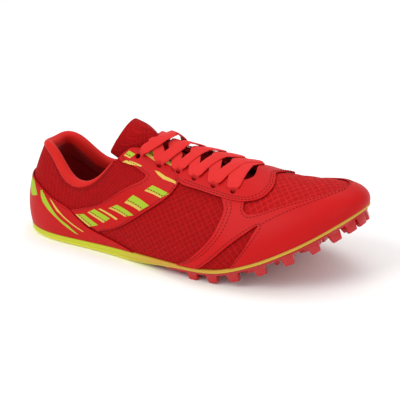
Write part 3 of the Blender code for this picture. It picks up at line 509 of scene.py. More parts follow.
def addNode(tree, kind, inputs=None, **settings):
    node = tree.nodes.new("ShaderNode" + kind)
    for name, value in settings.items():
        setattr(node, name, value)
    for name, value in (inputs or {}).items():
        if isinstance(value, bpy.types.NodeSocket):
            tree.links.new(value, node.inputs[name])
        else:
            node.inputs[name].default_value = value
    return node


# Links a slightly uneven colour and a fine relief to the shader. Noise gives the height where none is named.
def finishSkin(tree, shader, colour, uneven, relief, height=None, invert=False):
    place = addNode(tree, "TexCoord")
    noise = addNode(tree, "TexNoise", {"Vector": place.outputs["Object"], "Scale": uneven[0],
                    "Detail": uneven[1]})
    level = addNode(tree, "MapRange", {"Value": noise.outputs["Fac"], "To Min": uneven[2],
                    "To Max": uneven[3]})
    tinted = addNode(tree, "HueSaturation", {"Value": level.outputs["Result"], "Color": colour})
    tree.links.new(tinted.outputs["Color"], shader.inputs["Base Color"])
    bump = addNode(tree, "Bump", {"Height": height or noise.outputs["Fac"], "Distance": relief[0],
                   "Strength": relief[1]}, invert=invert)
    tree.links.new(bump.outputs["Normal"], shader.inputs["Normal"])


# Warp knitted polyester: raised yarn runs cross in diamonds over a darker ground with fine knit holes.
def openKnit(name, look):
    made, tree, shader = startMaterial(name, Roughness=look["roughness"], Sheen_Weight=0.01,
                                       Sheen_Roughness=0.5, Specular_IOR_Level=0.06)
    lengths = addNode(tree, "UVMap", uv_map="surface")
    place = addNode(tree, "TexCoord")
    pattern = place.outputs["Object"] if look.get("plan") else lengths.outputs[0]
    turned = addNode(tree, "Mapping", {"Vector": pattern,
                     "Rotation": (0, 0, math.radians(look["turn"])), "Scale": (1 / look["pitch"],) * 3})
    stretched = addNode(tree, "Mapping", {"Vector": turned.outputs[0], "Scale": look["stretch"],
                        "Rotation": (0, 0, math.radians(45))})
    cells = addNode(tree, "TexVoronoi", {"Vector": stretched.outputs[0], "Scale": 1.0,
                    "Randomness": look["loose"]}, voronoi_dimensions="2D", feature="DISTANCE_TO_EDGE")
    runs = addNode(tree, "MapRange", {"Value": cells.outputs["Distance"],
                   "From Min": look["yarnWidth"], "From Max": 0.02}, interpolation_type="SMOOTHSTEP")
    fine = addNode(tree, "TexVoronoi", {"Vector": stretched.outputs[0], "Scale": look["fine"],
                   "Randomness": 0.25}, voronoi_dimensions="2D")
    holes = addNode(tree, "MapRange", {"Value": fine.outputs["Distance"], "From Min": 0.18,
                    "From Max": 0.50}, interpolation_type="SMOOTHSTEP")
    ground = addNode(tree, "Mix", {0: holes.outputs["Result"], 6: hexColour(look["holeColour"]),
                     7: hexColour(look["ground"])}, data_type="RGBA")
    share = addNode(tree, "Math", {0: runs.outputs["Result"], 1: look["show"]},
                    operation="MULTIPLY")
    yarns = addNode(tree, "Mix", {0: share.outputs[0], 6: ground.outputs[2],
                    7: hexColour(look["yarn"])}, data_type="RGBA")
    soft = addNode(tree, "Math", {0: holes.outputs["Result"], 1: 0.35}, operation="MULTIPLY")
    height = addNode(tree, "Math", {0: runs.outputs["Result"], 1: soft.outputs[0]}, operation="ADD")
    finishSkin(tree, shader, yarns.outputs[2], (260.0, 2.0, 0.82, 1.18), (look["depth"], 0.8),
               height.outputs[0])
    return made


# Polyurethane coated microfibre: smooth satin skin with a fine 0.5 mm grain and soft highlights.
def coatedLeather(name, look):
    made, tree, shader = startMaterial(name, Roughness=look["roughness"], Coat_Weight=look["coat"],
                                       Coat_Roughness=0.35, Specular_IOR_Level=0.10)
    place = addNode(tree, "TexCoord")
    grain = addNode(tree, "TexVoronoi", {"Vector": place.outputs["Object"], "Scale": 1900.0,
                    "Randomness": 1.0})
    pores = addNode(tree, "TexNoise", {"Vector": place.outputs["Object"], "Scale": 700.0,
                    "Detail": 4.0})
    height = addNode(tree, "Math", {0: grain.outputs["Distance"], 1: pores.outputs["Fac"]},
                     operation="ADD")
    finishSkin(tree, shader, hexColour(look["colour"]), (28.0, 3.0, 0.90, 1.09), (0.00012, 0.55),
               height.outputs[0])
    gloss = addNode(tree, "MapRange", {"Value": pores.outputs["Fac"],
                    "To Min": look["roughness"] - 0.06, "To Max": look["roughness"] + 0.10})
    tree.links.new(gloss.outputs["Result"], shader.inputs["Roughness"])
    return made


# Brushed or satin woven textile on the collar, the insole and inside: fine 0.6 mm threads and a soft sheen.
def wovenTextile(name, look):
    made, tree, shader = startMaterial(name, Roughness=look["roughness"], Sheen_Weight=look["sheen"],
                                       Sheen_Roughness=0.4, Specular_IOR_Level=0.15)
    place = addNode(tree, "TexCoord")
    threads = addNode(tree, "TexVoronoi", {"Vector": place.outputs["Object"], "Scale": 1600.0,
                      "Randomness": 0.35})
    finishSkin(tree, shader, hexColour(look["colour"]), (60.0, 3.0, 0.88, 1.12), (0.0002, 0.7),
               threads.outputs["Distance"])
    return made


sideMesh = openKnit("polyester mesh, side panels", {
    "yarn": "#B81416", "ground": "#A00A0C", "holeColour": "#80080C", "pitch": 0.0040, "turn": 8,
    "stretch": (1.0, 1.15, 1.0), "yarnWidth": 0.17, "loose": 0.04, "fine": 4.5, "show": 0.7, "depth": 0.00035,
    "roughness": 0.72})
quarterMesh = openKnit("polyester mesh, quarter and tongue", {
    "yarn": "#B21214", "ground": "#A00A0E", "holeColour": "#82080C", "pitch": 0.0034, "turn": 12,
    "stretch": (1.25, 0.95, 1.0), "yarnWidth": 0.20, "loose": 0.05, "fine": 4.0, "show": 0.55,
    "depth": 0.0003, "roughness": 0.75})
vampMesh = openKnit("polyester mesh, vamp", {
    "yarn": "#CA2220", "ground": "#B41214", "holeColour": "#8E0E12", "pitch": 0.0040, "turn": 4,
    "stretch": (1.0, 1.1, 1.0), "yarnWidth": 0.15, "loose": 0.04, "fine": 4.0, "show": 0.7, "depth": 0.0003,
    "roughness": 0.7, "plan": True})
redLeather = coatedLeather("polyurethane leather, red", {
    "colour": "#B60C0E", "roughness": 0.46, "coat": 0.03})
brightLeather = coatedLeather("polyurethane leather, bright red", {
    "colour": "#BA1012", "roughness": 0.44, "coat": 0.04})
collarCloth = wovenTextile("brushed nylon, collar roll", {
    "colour": "#C4160F", "roughness": 0.62, "sheen": 0.10})
liningCloth = wovenTextile("polyester lining, dark red", {
    "colour": "#A00E12", "roughness": 0.9, "sheen": 0.05})
insoleCloth = wovenTextile("brushed polyester, insole", {
    "colour": "#9A1216", "roughness": 0.9, "sheen": 0.05})

# Plastisol screen print: flat, slightly rubbery ink with a dry edge.
limePrint = coatedLeather("plastisol print, lime", {"colour": "#9DB52C", "roughness": 0.5, "coat": 0.0})
strawPrint = coatedLeather("plastisol print, straw", {"colour": "#CCAF50", "roughness": 0.5, "coat": 0.0})
thread = wovenTextile("bonded nylon thread, dark red", {"colour": "#6E0A0C", "roughness": 0.6, "sheen": 0.02})


# Flat woven polyester lace: ribs run slantwise over its face, so it looks matt and slightly furrowed.
def lacePolyester():
    made, tree, shader = startMaterial("woven polyester, lace", Roughness=0.68, Sheen_Weight=0.06,
                                       Sheen_Roughness=0.45, Specular_IOR_Level=0.18)
    lengths = addNode(tree, "UVMap", uv_map="surface")
    apart = 0.0011  # between the ribs, each way
    scaled = addNode(tree, "Mapping", {"Vector": lengths.outputs[0],
                     "Rotation": (0, 0, math.radians(45)), "Scale": (1 / apart, 1 / apart, 1)})
    cells = addNode(tree, "TexVoronoi", {"Vector": scaled.outputs[0], "Scale": 1.0,
                    "Randomness": 0.0}, voronoi_dimensions="2D")
    finishSkin(tree, shader, hexColour("#D02422"), (180.0, 3.0, 0.90, 1.08), (0.00025, 0.6),
               cells.outputs["Distance"], invert=True)
    return made


# Compression moulded EVA foam: soft matt skin, lime yellow at the heel, golden along the thin front edge.
def moulded():
    made, tree, shader = startMaterial("moulded EVA foam", Roughness=0.5, Specular_IOR_Level=0.35)
    place = addNode(tree, "TexCoord")
    axes = addNode(tree, "SeparateXYZ", {"Vector": place.outputs["Object"]})
    forward = addNode(tree, "MapRange", {"Value": axes.outputs["X"], "From Min": -0.050,
                      "From Max": 0.010}, interpolation_type="SMOOTHSTEP")
    edge = addNode(tree, "Mix", {0: forward.outputs["Result"], 6: hexColour("#B8BE1E"),
                   7: hexColour("#BE9230")}, data_type="RGBA")
    facing = addNode(tree, "NewGeometry")
    normal = addNode(tree, "SeparateXYZ", {"Vector": facing.outputs["Normal"]})
    low = addNode(tree, "MapRange", {"Value": axes.outputs["Z"], "From Min": 0.0035,
                  "From Max": 0.0012})
    under = addNode(tree, "Mix", {0: low.outputs["Result"], 6: edge.outputs[2],
                    7: hexColour("#F0EA24")}, data_type="RGBA")
    down = addNode(tree, "MapRange", {"Value": normal.outputs["Z"], "From Min": -0.4,
                   "From Max": -0.9})
    bottom = addNode(tree, "Mix", {0: down.outputs["Result"], 6: under.outputs[2],
                     7: hexColour("#F2EC22")}, data_type="RGBA")
    tree.links.new(bottom.outputs[2], shader.inputs["Base Color"])
    skin = addNode(tree, "TexNoise", {"Vector": place.outputs["Object"], "Scale": 1400.0,
                   "Detail": 3.0})
    bump = addNode(tree, "Bump", {"Height": skin.outputs["Fac"], "Distance": 0.00015,
                   "Strength": 0.4})
    tree.links.new(bump.outputs["Normal"], shader.inputs["Normal"])
    return made


# Injection moulded TPU: glossy, slightly uneven flow so that highlights wobble.
def mouldedPlastic():
    made, tree, shader = startMaterial("injection moulded TPU, red", Roughness=0.24, Coat_Weight=0.2,
                                       Coat_Roughness=0.12, Specular_IOR_Level=0.35)
    finishSkin(tree, shader, hexColour("#B41218"), (70.0, 2.0, 0.90, 1.10), (0.0006, 0.25))
    return made


# Turned and nickel plated steel: bright rings with fine tool marks, and a dark copy as painted shade for the
# seat bores.
def turnedSteel(name, colour, roughness):
    made, tree, shader = startMaterial(name, Metallic=1.0, Roughness=roughness)
    finishSkin(tree, shader, hexColour(colour), (2500.0, 2.0, 0.85, 1.1), (0.00005, 0.4))
    return made


laceCloth, foam, tpu = lacePolyester(), moulded(), mouldedPlastic()
steel = turnedSteel("turned steel, nickel plated", "#C9CCD0", 0.22)
# Dark copy of the plated steel: painted shade for the seat bores.
boreShade = turnedSteel("painted shade for the seat bores", "#26262A", 0.45)
print("materials made")


def keep(obj, slot, *nodes):
    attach(obj, "root")
    if nodes:
        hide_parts(*nodes)
    return obj


# Upper: one mesh shell, open at the collar, the throat and underneath, in three knits with a dark lining.
upper = {
    "collarEdge": ((0, 0.92), (1, 0.92), (2, 0.86), (2.5, 0.83), (3, 0.87), (3.5, 0.91), (4, 0.94),
                   (4.5, 0.965), (5, 0.975)),
    "throatLateral": ((5.0, 0.975), (5.2, 0.950), (5.6, 0.880), (6.1, 0.845), (6.6, 0.815), (7.2, 0.790),
                      (7.8, 0.785)),
    "throatMedial": ((5.0, 0.975), (5.2, 0.965), (5.6, 0.945), (6.1, 0.930), (6.6, 0.920), (7.2, 0.915),
                     (7.8, 0.915)),
    "throatFront": ((7.8, 0.785), (8.02, 0.82), (8.13, 0.87), (8.13, 0.96), (8.05, 1.04), (7.8, 1.085)),
    "eyeletsLateral": ((5.17, 0.870), (5.63, 0.780), (6.10, 0.745), (6.57, 0.715), (7.13, 0.690),
                       (7.68, 0.680)),
    "eyeletsMedial": ((5.30, 0.902), (5.76, 0.883), (6.36, 0.867), (6.95, 0.858), (7.45, 0.848),
                      (7.94, 0.838)),
    "eyeletRadius": 0.0021, "eyeletSides": 14,
    "vampLine": (8.0, 0.50, 0.06),  # the vamp knit's first station, lowest share, and fall per station
    "quarterLine": ((0, 0.40), (2.9, 0.45), (5.4, 0.66), (5.9, 0.75)), "quarterEnd": 6.0,
}


# Round hole, drawn in stations and shares from their real lengths at that place.
def eyeletHole(k, v):
    radius, sides, step = upper["eyeletRadius"], upper["eyeletSides"], 0.01
    section = np.linalg.norm(over([k], [v + step], 0) - over([k], [v], 0))
    station = np.linalg.norm(over([k + step], [v], 0) - over([k], [v], 0))
    angles = [math.tau * i / sides for i in range(sides)]
    return [(k + radius / station * step * math.cos(a), v + radius / section * step * math.sin(a))
            for a in angles]


def eyelets(first, last):
    lateral = list(upper["eyeletsLateral"])[first:last]
    return lateral, [(k, 2 - w) for k, w in upper["eyeletsMedial"]][first:last]


def throatLine():
    return outlineOf(upper["throatLateral"], upper["throatFront"], mirrored(upper["throatMedial"]))


def buildUpper():
    collar = [(float(k), float(flowing(*zip(*upper["collarEdge"]), k))) for k in np.arange(0, 4.95, 0.1)]
    opening = collar + throatLine() + [(k, 2 - w) for k, w in reversed(collar)]
    outline = [(0, 0), (stations, 0), (stations, 2), (0, 2)] + opening[::-1]
    lateral, medial = eyelets(0, 6)
    holes = [eyeletHole(*place) for place in lateral + medial]
    obj = flatSheet("upper_shell", [outline] + holes, stationLines(0, stations), shareLines(0, 2))
    start, height, fall = upper["vampLine"]
    for face in obj.data.polygons:
        k, v = face.center[0], face.center[1]
        w = min(v, 2 - v)
        front = k > start and w > height - fall * (k - start)
        behind = w > np.interp(k, *zip(*upper["quarterLine"])) and k < upper["quarterEnd"]
        face.material_index = 2 if front else 1 if behind else 0
    layOnLast(obj, over, 0.0)
    finishSheet(obj, [sideMesh, quarterMesh, vampMesh, liningCloth], shoe["wall"], weld=True)
    return keep(obj, "mesh", "upper")


buildUpper()
print("upper laid on the last")

# Overlays: smooth runs between their corners, in stations and shares of the section, on the outer side.
overlays = {
    "counter": ((0.0, 0.58), (0.8, 0.57), (1.5, 0.52), (2.1, 0.47), (2.82, 0.465), (3.15, 0.345),
                (3.52, 0.20), (4.65, 0.004)),
    "sashFront": ((3.66, 0.215), (4.60, 0.33), (5.29, 0.43), (5.85, 0.545), (6.12, 0.655), (6.10, 0.69),
                  (5.96, 0.77)),
    "sashWindow": ((4.70, 0.950), (4.80, 0.88), (5.20, 0.745), (5.32, 0.69), (5.08, 0.645), (4.43, 0.63),
                   (3.51, 0.60), (2.93, 0.475)),
    "stayLower": ((5.99, 0.76), (6.18, 0.662), (6.75, 0.637), (7.36, 0.618), (8.01, 0.607), (8.38, 0.640),
                  (8.60, 0.70), (8.73, 0.79), (8.74, 0.88), (8.70, 0.97)),
    "capBack": ((7.74, 0.004), (8.15, 0.20), (8.40, 0.355)),
    "lensTop": ((8.40, 0.355), (8.46, 0.392), (8.37, 0.385), (8.05, 0.32), (7.67, 0.235), (7.28, 0.13),
                (6.84, 0.004)),
    "strapBack": ((6.15, 0.004), (6.70, 0.14), (7.20, 0.30), (7.40, 0.41), (7.51, 0.53), (7.345, 0.645)),
    "strapTop": ((7.345, 0.645), (8.02, 0.645), (8.02, 0.60), (8.03, 0.54), (8.17, 0.500)),
    "capTop": ((8.17, 0.500), (8.50, 0.510), (9.41, 0.585), (10.54, 0.625), (11.3, 0.63), (12.0, 0.63)),
    "soft": 0.00028, "sashSeam": 5.93, "staySeam": 5.97, "seamRoom": 0.05,
}


def buildOverlays():
    under, thick, soft, room = shoe["overlayGap"], shoe["overlay"], overlays["soft"], overlays["seamRoom"]
    counter = smoothRun(overlays["counter"])
    outline = mirroredRound(counter[1:]) + [tuple(p) for p in counter]
    keep(laidPiece("heel_counter_leather", [outline], around, under, thick, [redLeather], soft),
         "overlay", "heel_counter")
    half = outlineOf(overlays["capBack"], overlays["lensTop"], overlays["strapBack"], overlays["strapTop"],
                     overlays["capTop"])
    outline = half + [(2 * stations - k, w) for k, w in half[-2::-1]]
    keep(laidPiece("toe_cap_and_strap_leather", [outline], around, under, thick, [brightLeather], soft),
         "overlay", "toe_cap")
    seam = overlays["sashSeam"]
    for side, throat, eyeletRow in (("lateral", "throatLateral", 0), ("medial", "throatMedial", 1)):
        back = [tuple(p) for p in smoothRun(upper[throat]) if p[0] < seam - room]
        end = float(flowing(*zip(*upper[throat]), seam))
        outline = outlineOf(overlays["sashFront"], [overlays["sashFront"][-1], (seam, end)]) + back[::-1]
        outline += outlineOf(overlays["sashWindow"])
        holes = [eyeletHole(*place) for place in eyelets(0, 2)[eyeletRow]]
        if side == "medial":
            outline = mirrored(outline)
        keep(laidPiece("side_sash_" + side + "_leather", [outline] + holes, over, under, thick, [redLeather],
                       soft), "overlay", "side_sash_" + side)
    lateral, medial = eyelets(2, 6)
    seam = overlays["staySeam"]
    front = [p for p in throatLine() if p[0] > seam + room]
    ends = [float(flowing(*zip(*upper[name]), seam)) for name in ("throatLateral", "throatMedial")]
    outline = [tuple(p) for p in smoothRun(list(overlays["stayLower"]) + mirrored(overlays["stayLower"]))]
    outline += [(seam, 2 - ends[1])] + front[::-1] + [(seam, ends[0])]
    keep(laidPiece("eyestay_leather", [outline] + [eyeletHole(*p) for p in lateral + medial], over,
                   under + shoe["stayRaise"], thick, [brightLeather], soft), "overlay", "eyestay")


buildOverlays()
print("overlays laid")

# Closed rings of points joined into one tube, with a UV map in metres along and round it.
def loftMesh(name, rings, finishes):
    form = bmesh.new()
    layer = form.loops.layers.uv.new("surface")
    rows = [[form.verts.new(point) for point in ring] for ring in rings]
    count = len(rings[0])
    along = np.concatenate([[0], np.cumsum([np.linalg.norm(np.mean(b, 0) - np.mean(a, 0))
                                            for a, b in zip(rings, rings[1:])])])
    for r in range(len(rings) - 1):
        for i in range(count):
            j = (i + 1) % count
            face = form.faces.new((rows[r][i], rows[r][j], rows[r + 1][j], rows[r + 1][i]))
            girth = [0]
            for a in range(count):
                girth.append(girth[-1] + np.linalg.norm(np.subtract(rings[r][(a + 1) % count], rings[r][a])))
            for loop, place in zip(face.loops, ((along[r], girth[i]), (along[r], girth[i + 1]),
                                                (along[r + 1], girth[i + 1]), (along[r + 1], girth[i]))):
                loop[layer].uv = place
    form.faces.new(rows[0])
    form.faces.new(rows[-1])
    return meshObject(name, form, finishes)


# Collar: padded roll over the wall's top edge, lining the inside, with soft unevenness in its filling.
collar = {
    "end": 4.5, "clear": 0.006, "slack": 0.0012, "pad": 0.0070, "step": 0.09,
    "profile": ((0.0, 0.0), (0.25, -0.10), (0.60, -0.06), (0.90, 0.10), (1.03, 0.40), (0.95, 0.72),
                (0.70, 0.94), (0.25, 1.06), (-0.25, 1.06), (-0.75, 0.98), (-1.25, 0.84), (-1.80, 0.72),
                (-2.30, 0.60)),
    "back": ((-2.30, 0.45), (-1.2, 0.45), (0.0, 0.45)),
    "drop": 0.11, "slim": 0.55, "slimFrom": 3.4, "uneven": ((0.05, 2.3, 0.7), (0.03, 5.1, 0.0)),
}


def buildCollar():
    rings = []
    front = smoothRun(collar["profile"], 3)
    shares, depths = np.array([tuple(p) for p in front] + list(collar["back"])).T
    shares = np.minimum(shares, 0.998)
    for u in np.arange(-collar["end"], collar["end"] + 1e-6, collar["step"]):
        k, side = abs(float(u)), (1 if u < 0 else -1)
        edge = float(flowing(*zip(*upper["collarEdge"]), k))
        slim = 1 - collar["slim"] * float(smoothStep(k, collar["slimFrom"], collar["end"]))
        filling = sum((swell * math.sin(u * pace + start) for swell, pace, start in collar["uneven"]), 1)
        puff = np.where(depths > 0.5, filling, 1)
        w = np.where(shares >= 0, edge + collar["clear"] + shares * (1 - edge - collar["clear"]),
                     edge + shares * collar["drop"])
        inward = depths * collar["pad"] * slim * puff
        inward = np.where(depths >= 0.45, np.maximum(inward, shoe["wall"] + collar["slack"]), inward)
        rings.append(lastPoint(np.full(len(w), k), w, side, -inward))
    obj = loftMesh("collar_roll", rings, [collarCloth, liningCloth])
    count, deep = len(shares), len(front) - 13
    for index, face in enumerate(obj.data.polygons):
        if index % count >= deep and index < (len(rings) - 1) * count:
            face.material_index = 1
    return keep(obj, "lining", "collar_lining")


buildCollar()
print("collar padded")

# Tongue: centre x and z, edge x and z as shares of length and instep, edge y, tilt to the outer side.
tongue = {
    "thickness": 0.0034, "width": 0.0340, "centre": -0.0012, "dent": 0.0006, "dentAt": (4.9, 0.2),
    "topRound": 0.6, "thicker": 0.35,
    "rows": ((0.770, 0.715, 0.760, 0.575, 1.20, 0.00), (0.682, 0.790, 0.664, 0.610, 1.30, 0.00),
             (0.587, 0.853, 0.567, 0.640, 1.25, 0.00), (0.515, 0.905, 0.478, 0.690, 1.02, 0.00),
             (0.462, 0.980, 0.392, 0.760, 0.72, 0.00), (0.412, 1.115, 0.324, 0.910, 0.80, -0.02),
             (0.348, 1.185, 0.318, 1.020, 1.16, -0.05)),
}


def tonguePoints(s, across):
    midX, midZ, edgeX, edgeZ, edgeY, tilt = [float(spline(row, s, False, False))
                                             for row in np.array(tongue["rows"]).T]
    bow = across * across
    x = (midX + (edgeX - midX) * bow) * shoe["length"]
    z = (midZ + (edgeZ - midZ) * bow - tilt * across) * shoe["instepHeight"]
    along, aside = tongue["dentAt"]
    dent = -tongue["dent"] * np.exp(-((s - along) / 0.25) ** 2 - ((across - aside) / 0.5) ** 2)
    y = tongue["centre"] + across * edgeY * tongue["width"] / 2
    return np.stack([x, y, z + dent], -1) - np.array(shoe["middle"])


def buildTongue():
    rings = []
    last = len(tongue["rows"]) - 1
    turns = np.linspace(0, math.tau, 40, endpoint=False)
    across = np.sign(np.cos(turns)) * np.abs(np.cos(turns)) ** 0.7
    height = np.sign(np.sin(turns)) * np.abs(np.sin(turns)) ** 0.8 / 2
    for s in np.concatenate([np.linspace(0, 5.2, 34), np.linspace(5.3, last, 16)]):
        end = max(0.0, s - (last - tongue["topRound"])) / tongue["topRound"]
        inside = across * math.sqrt(max(0.0, 1 - 0.45 * end ** 3))
        swell = 1 + tongue["thicker"] * float(smoothStep(s, 4.4, 5.2))
        thick = tongue["thickness"] * swell * (1 - 0.35 * end ** 2)
        step = 0.02
        ahead = tonguePoints(min(s + step, last), inside) - tonguePoints(max(s - step, 0), inside)
        aside = tonguePoints(s, inside + step) - tonguePoints(s, inside - step)
        rings.append(tonguePoints(s, inside) + unit(np.cross(ahead, aside)) * (height * thick)[:, None])
    obj = loftMesh("tongue_padded", rings, [quarterMesh])
    selectOnly(obj)
    bpy.ops.object.shade_smooth()
    return keep(obj, "mesh", "tongue")


buildTongue()
print("tongue made")

# Foot outline at given stations, moved outward, on the floor edge or a share up the wall.
def footEdge(ks, side, outset=0.0, w=0.0):
    if w:
        return lastPoint(ks, np.full(len(ks), w), side, np.full(len(ks), outset)) + np.array(shoe["middle"])
    foot, _, _, _, outward = rails(ks, side)
    return foot + outset * outward


# Layer of the sole between its two edges: rings from the top to the bottom, closed above and below.
def soleLayer(name, rings, finishes):
    form = bmesh.new()
    levels = []
    for lateral, medial in rings:
        left = [form.verts.new(point) for point in lateral]
        right = [left[0]] + [form.verts.new(point) for point in medial[1:-1]] + [left[-1]]
        levels.append((left, right))
    for left, right in (levels[0], levels[-1]):
        for i in range(len(left) - 1):
            form.faces.new(list(dict.fromkeys((left[i], left[i + 1], right[i + 1], right[i]))))
    for above, below in zip(levels, levels[1:]):
        for side in (0, 1):
            for i in range(len(above[side]) - 1):
                form.faces.new((above[side][i], above[side][i + 1], below[side][i + 1], below[side][i]))
    return meshObject(name, form, finishes)


insole = {"thickness": 0.0032, "cup": 0.0016, "columns": 14}


def buildInsole():
    ks = np.array([0.0] + stationLines(0, stations) + [float(stations)])
    inset = -(shoe["wall"] + 2 * shoe["gap"])
    left, right = footEdge(ks, -1, inset, 0.015), footEdge(ks, 1, inset, 0.015)
    form = bmesh.new()
    shares = np.linspace(0, 1, insole["columns"])
    sheets = []
    for rise in (insole["thickness"], 0.0):
        rows = []
        for a, b in zip(left, right):
            row = []
            for share in shares:
                point = a + (b - a) * share
                cup = insole["cup"] * abs(2 * share - 1) ** 4 if rise else 0
                point[2] = float(sideLine(point[0])) + rise + cup
                row.append(form.verts.new(point - shoe["middle"]))
            rows.append(row)
        sheets.append(rows)
    for rows in sheets:
        for low, high in zip(rows, rows[1:]):
            for i in range(len(shares) - 1):
                form.faces.new((low[i], low[i + 1], high[i + 1], high[i]))
    rim, low = [[row[0] for row in rows] + rows[-1][1:-1] + [row[-1] for row in rows[::-1]] + rows[0][-2:0:-1]
                for rows in sheets]
    for i in range(len(rim)):
        j = (i + 1) % len(rim)
        form.faces.new((rim[i], rim[j], low[j], low[i]))
    bmesh.ops.remove_doubles(form, verts=form.verts, dist=2e-5)
    return keep(meshObject("insole_board", form, [insoleCloth]), "sockliner", "insole")


buildInsole()
print("insole made")

# Midsole: one foam layer with a rounded lower edge, a pocket for the prong and waffle pockets under the heel.
midsole = {
    "lip": 0.0008, "foreLip": 0.8,
    "profile": ((0.0, 1.2), (0.04, 1.7), (0.15, 2.1), (0.35, 2.2), (0.55, 2.1), (0.72, 1.6), (0.84, 0.7),
                (0.92, -0.5), (0.97, -1.5), (1.0, -2.4)),
    "pitch": 0.0063, "wall": 0.0020, "deep": 0.0018, "turn": 28, "slant": 82, "rim": 0.0058, "end": 0.385,
    "below": -0.001, "mouth": 1.16, "foot": 0.80, "prongClear": 0.0028, "gridStart": (0.06, 0.0),
}
prong = {
    "lateral": ((0.530, 0.90), (0.497, 0.84), (0.437, 0.70), (0.369, 0.53), (0.273, 0.32), (0.185, 0.16),
                (0.152, 0.12)),
    "medial": ((0.145, 0.07), (0.152, 0.03), (0.205, 0.03), (0.273, 0.055), (0.355, 0.00), (0.436, -0.08),
               (0.510, -0.22), (0.585, -0.42), (0.645, -0.68)),
    "front": ((0.620, -0.60), (0.620, 0.97), (0.560, 0.96)),
}


def planPoint(shareX, shareY):
    half = shoe["ballLateral"] if shareY > 0 else shoe["ballMedial"]
    return shareX * shoe["length"], -shareY * half


def prongOutline(by):
    points = [planPoint(*row) for row in prong["lateral"] + prong["medial"][:-1] + prong["front"]]
    result = []
    for i, point in enumerate(points):
        along = np.array(points[(i + 1) % len(points)]) - np.array(points[i - 1])
        normal = np.array((along[1], -along[0])) / np.linalg.norm(along)
        result.append(tuple(np.array(point) - normal * by * 1.6))
    return result


# Distance inside a closed outline, below zero outside it.
def depthInside(x, y, outline):
    best, inside = 1e9, False
    for (ax, ay), (bx, by) in zip(outline, outline[1:] + outline[:1]):
        run = ((bx - ax) ** 2 + (by - ay) ** 2) or 1e-12
        t = min(1, max(0, ((x - ax) * (bx - ax) + (y - ay) * (by - ay)) / run))
        best = min(best, math.hypot(x - ax - t * (bx - ax), y - ay - t * (by - ay)))
        if (ay > y) != (by > y) and x < (bx - ax) * (y - ay) / (by - ay) + ax:
            inside = not inside
    return best if inside else -best


def cutAway(obj, cutter):
    addModifier(obj, "BOOLEAN", object=cutter, operation="DIFFERENCE", solver="EXACT")
    applyAll(obj)
    bpy.data.objects.remove(cutter)


def waffleCutter():
    ks = np.array([0.0] + stationLines(0, 6) + [6.0])
    left, right = footEdge(ks, -1), footEdge(ks, 1)
    outline = [tuple(p[:2]) for p in left] + [tuple(p[:2]) for p in right[::-1]]
    tip = prongOutline(0.0)
    first = math.radians(midsole["turn"])
    second = first + math.radians(midsole["slant"])
    stepA = midsole["pitch"] * np.array((math.cos(first), math.sin(first)))
    stepB = midsole["pitch"] * np.array((math.cos(second), math.sin(second)))
    half = (midsole["pitch"] - midsole["wall"]) / midsole["pitch"] / 2
    form = bmesh.new()
    for i in range(-30, 40):
        for j in range(-30, 40):
            x, y = np.array(midsole["gridStart"]) + i * stepA + j * stepB
            if not 0.005 < x < midsole["end"] * shoe["length"] or abs(y) > 0.05:
                continue
            corners = [(x, y) + stepA * a * half + stepB * b * half
                       for a, b in ((-1, -1), (1, -1), (1, 1), (-1, 1))]
            if min(depthInside(*c, outline) for c in corners) < midsole["rim"]:
                continue
            if max(depthInside(*c, tip) for c in corners) > -midsole["prongClear"]:
                continue
            rows = []
            for z, size in ((midsole["below"], midsole["mouth"]), (midsole["deep"], midsole["foot"])):
                base = float(soleBottom(x)) if z > 0 else 0.0
                rows.append([form.verts.new((x + (c[0] - x) * size - shoe["middle"][0],
                                             y + (c[1] - y) * size - shoe["middle"][1], base + z))
                             for c in corners])
            form.faces.new(rows[0][::-1])
            form.faces.new(rows[1])
            for a in range(4):
                b = (a + 1) % 4
                form.faces.new((rows[0][a], rows[0][b], rows[1][b], rows[1][a]))
    return formObject("waffle_cutter", form)


def soleSlices(step=0.012):
    return list(np.arange(0.14, 1.0, step) * shoe["length"])


def buildMidsole():
    ks = np.array([0.0] + stationLines(0, stations) + [float(stations)])
    rings = []
    for depth, lip in midsole["profile"]:
        sides = []
        for side in (-1, 1):
            edge = footEdge(ks, side)
            point = footEdge(ks, side, lip * midsole["lip"])
            full = footEdge(ks, side, max(lip, midsole["foreLip"]) * midsole["lip"])
            front = smoothStep(edge[:, 0] / shoe["length"], 0.45, 0.58)[:, None]
            point = point + (full - point) * front
            top, bottom = sideLine(edge[:, 0]) - shoe["gap"], soleBottom(edge[:, 0])
            point[:, 2] = top + (bottom - top) * depth
            sides.append(point - np.array(shoe["middle"]))
        rings.append(sides)
    obj = soleLayer("midsole_foam", rings, [foam])
    pocket = flatSheet("prong_pocket", [prongOutline(shoe["gap"])], soleSlices(0.02), [])
    for vert in pocket.data.vertices:
        vert.co = (vert.co.x - shoe["middle"][0], vert.co.y - shoe["middle"][1],
                   float(plateTop(vert.co.x)) + shoe["gap"])
    addModifier(pocket, "SOLIDIFY", thickness=0.02, offset=-1 if pocket.data.polygons[0].normal.z > 0 else 1)
    applyAll(pocket)
    cutAway(obj, pocket)
    cutAway(obj, waffleCutter())
    shadeByAngle(obj, 32)
    return keep(obj, "foam", "midsole")


buildMidsole()
print("midsole moulded")

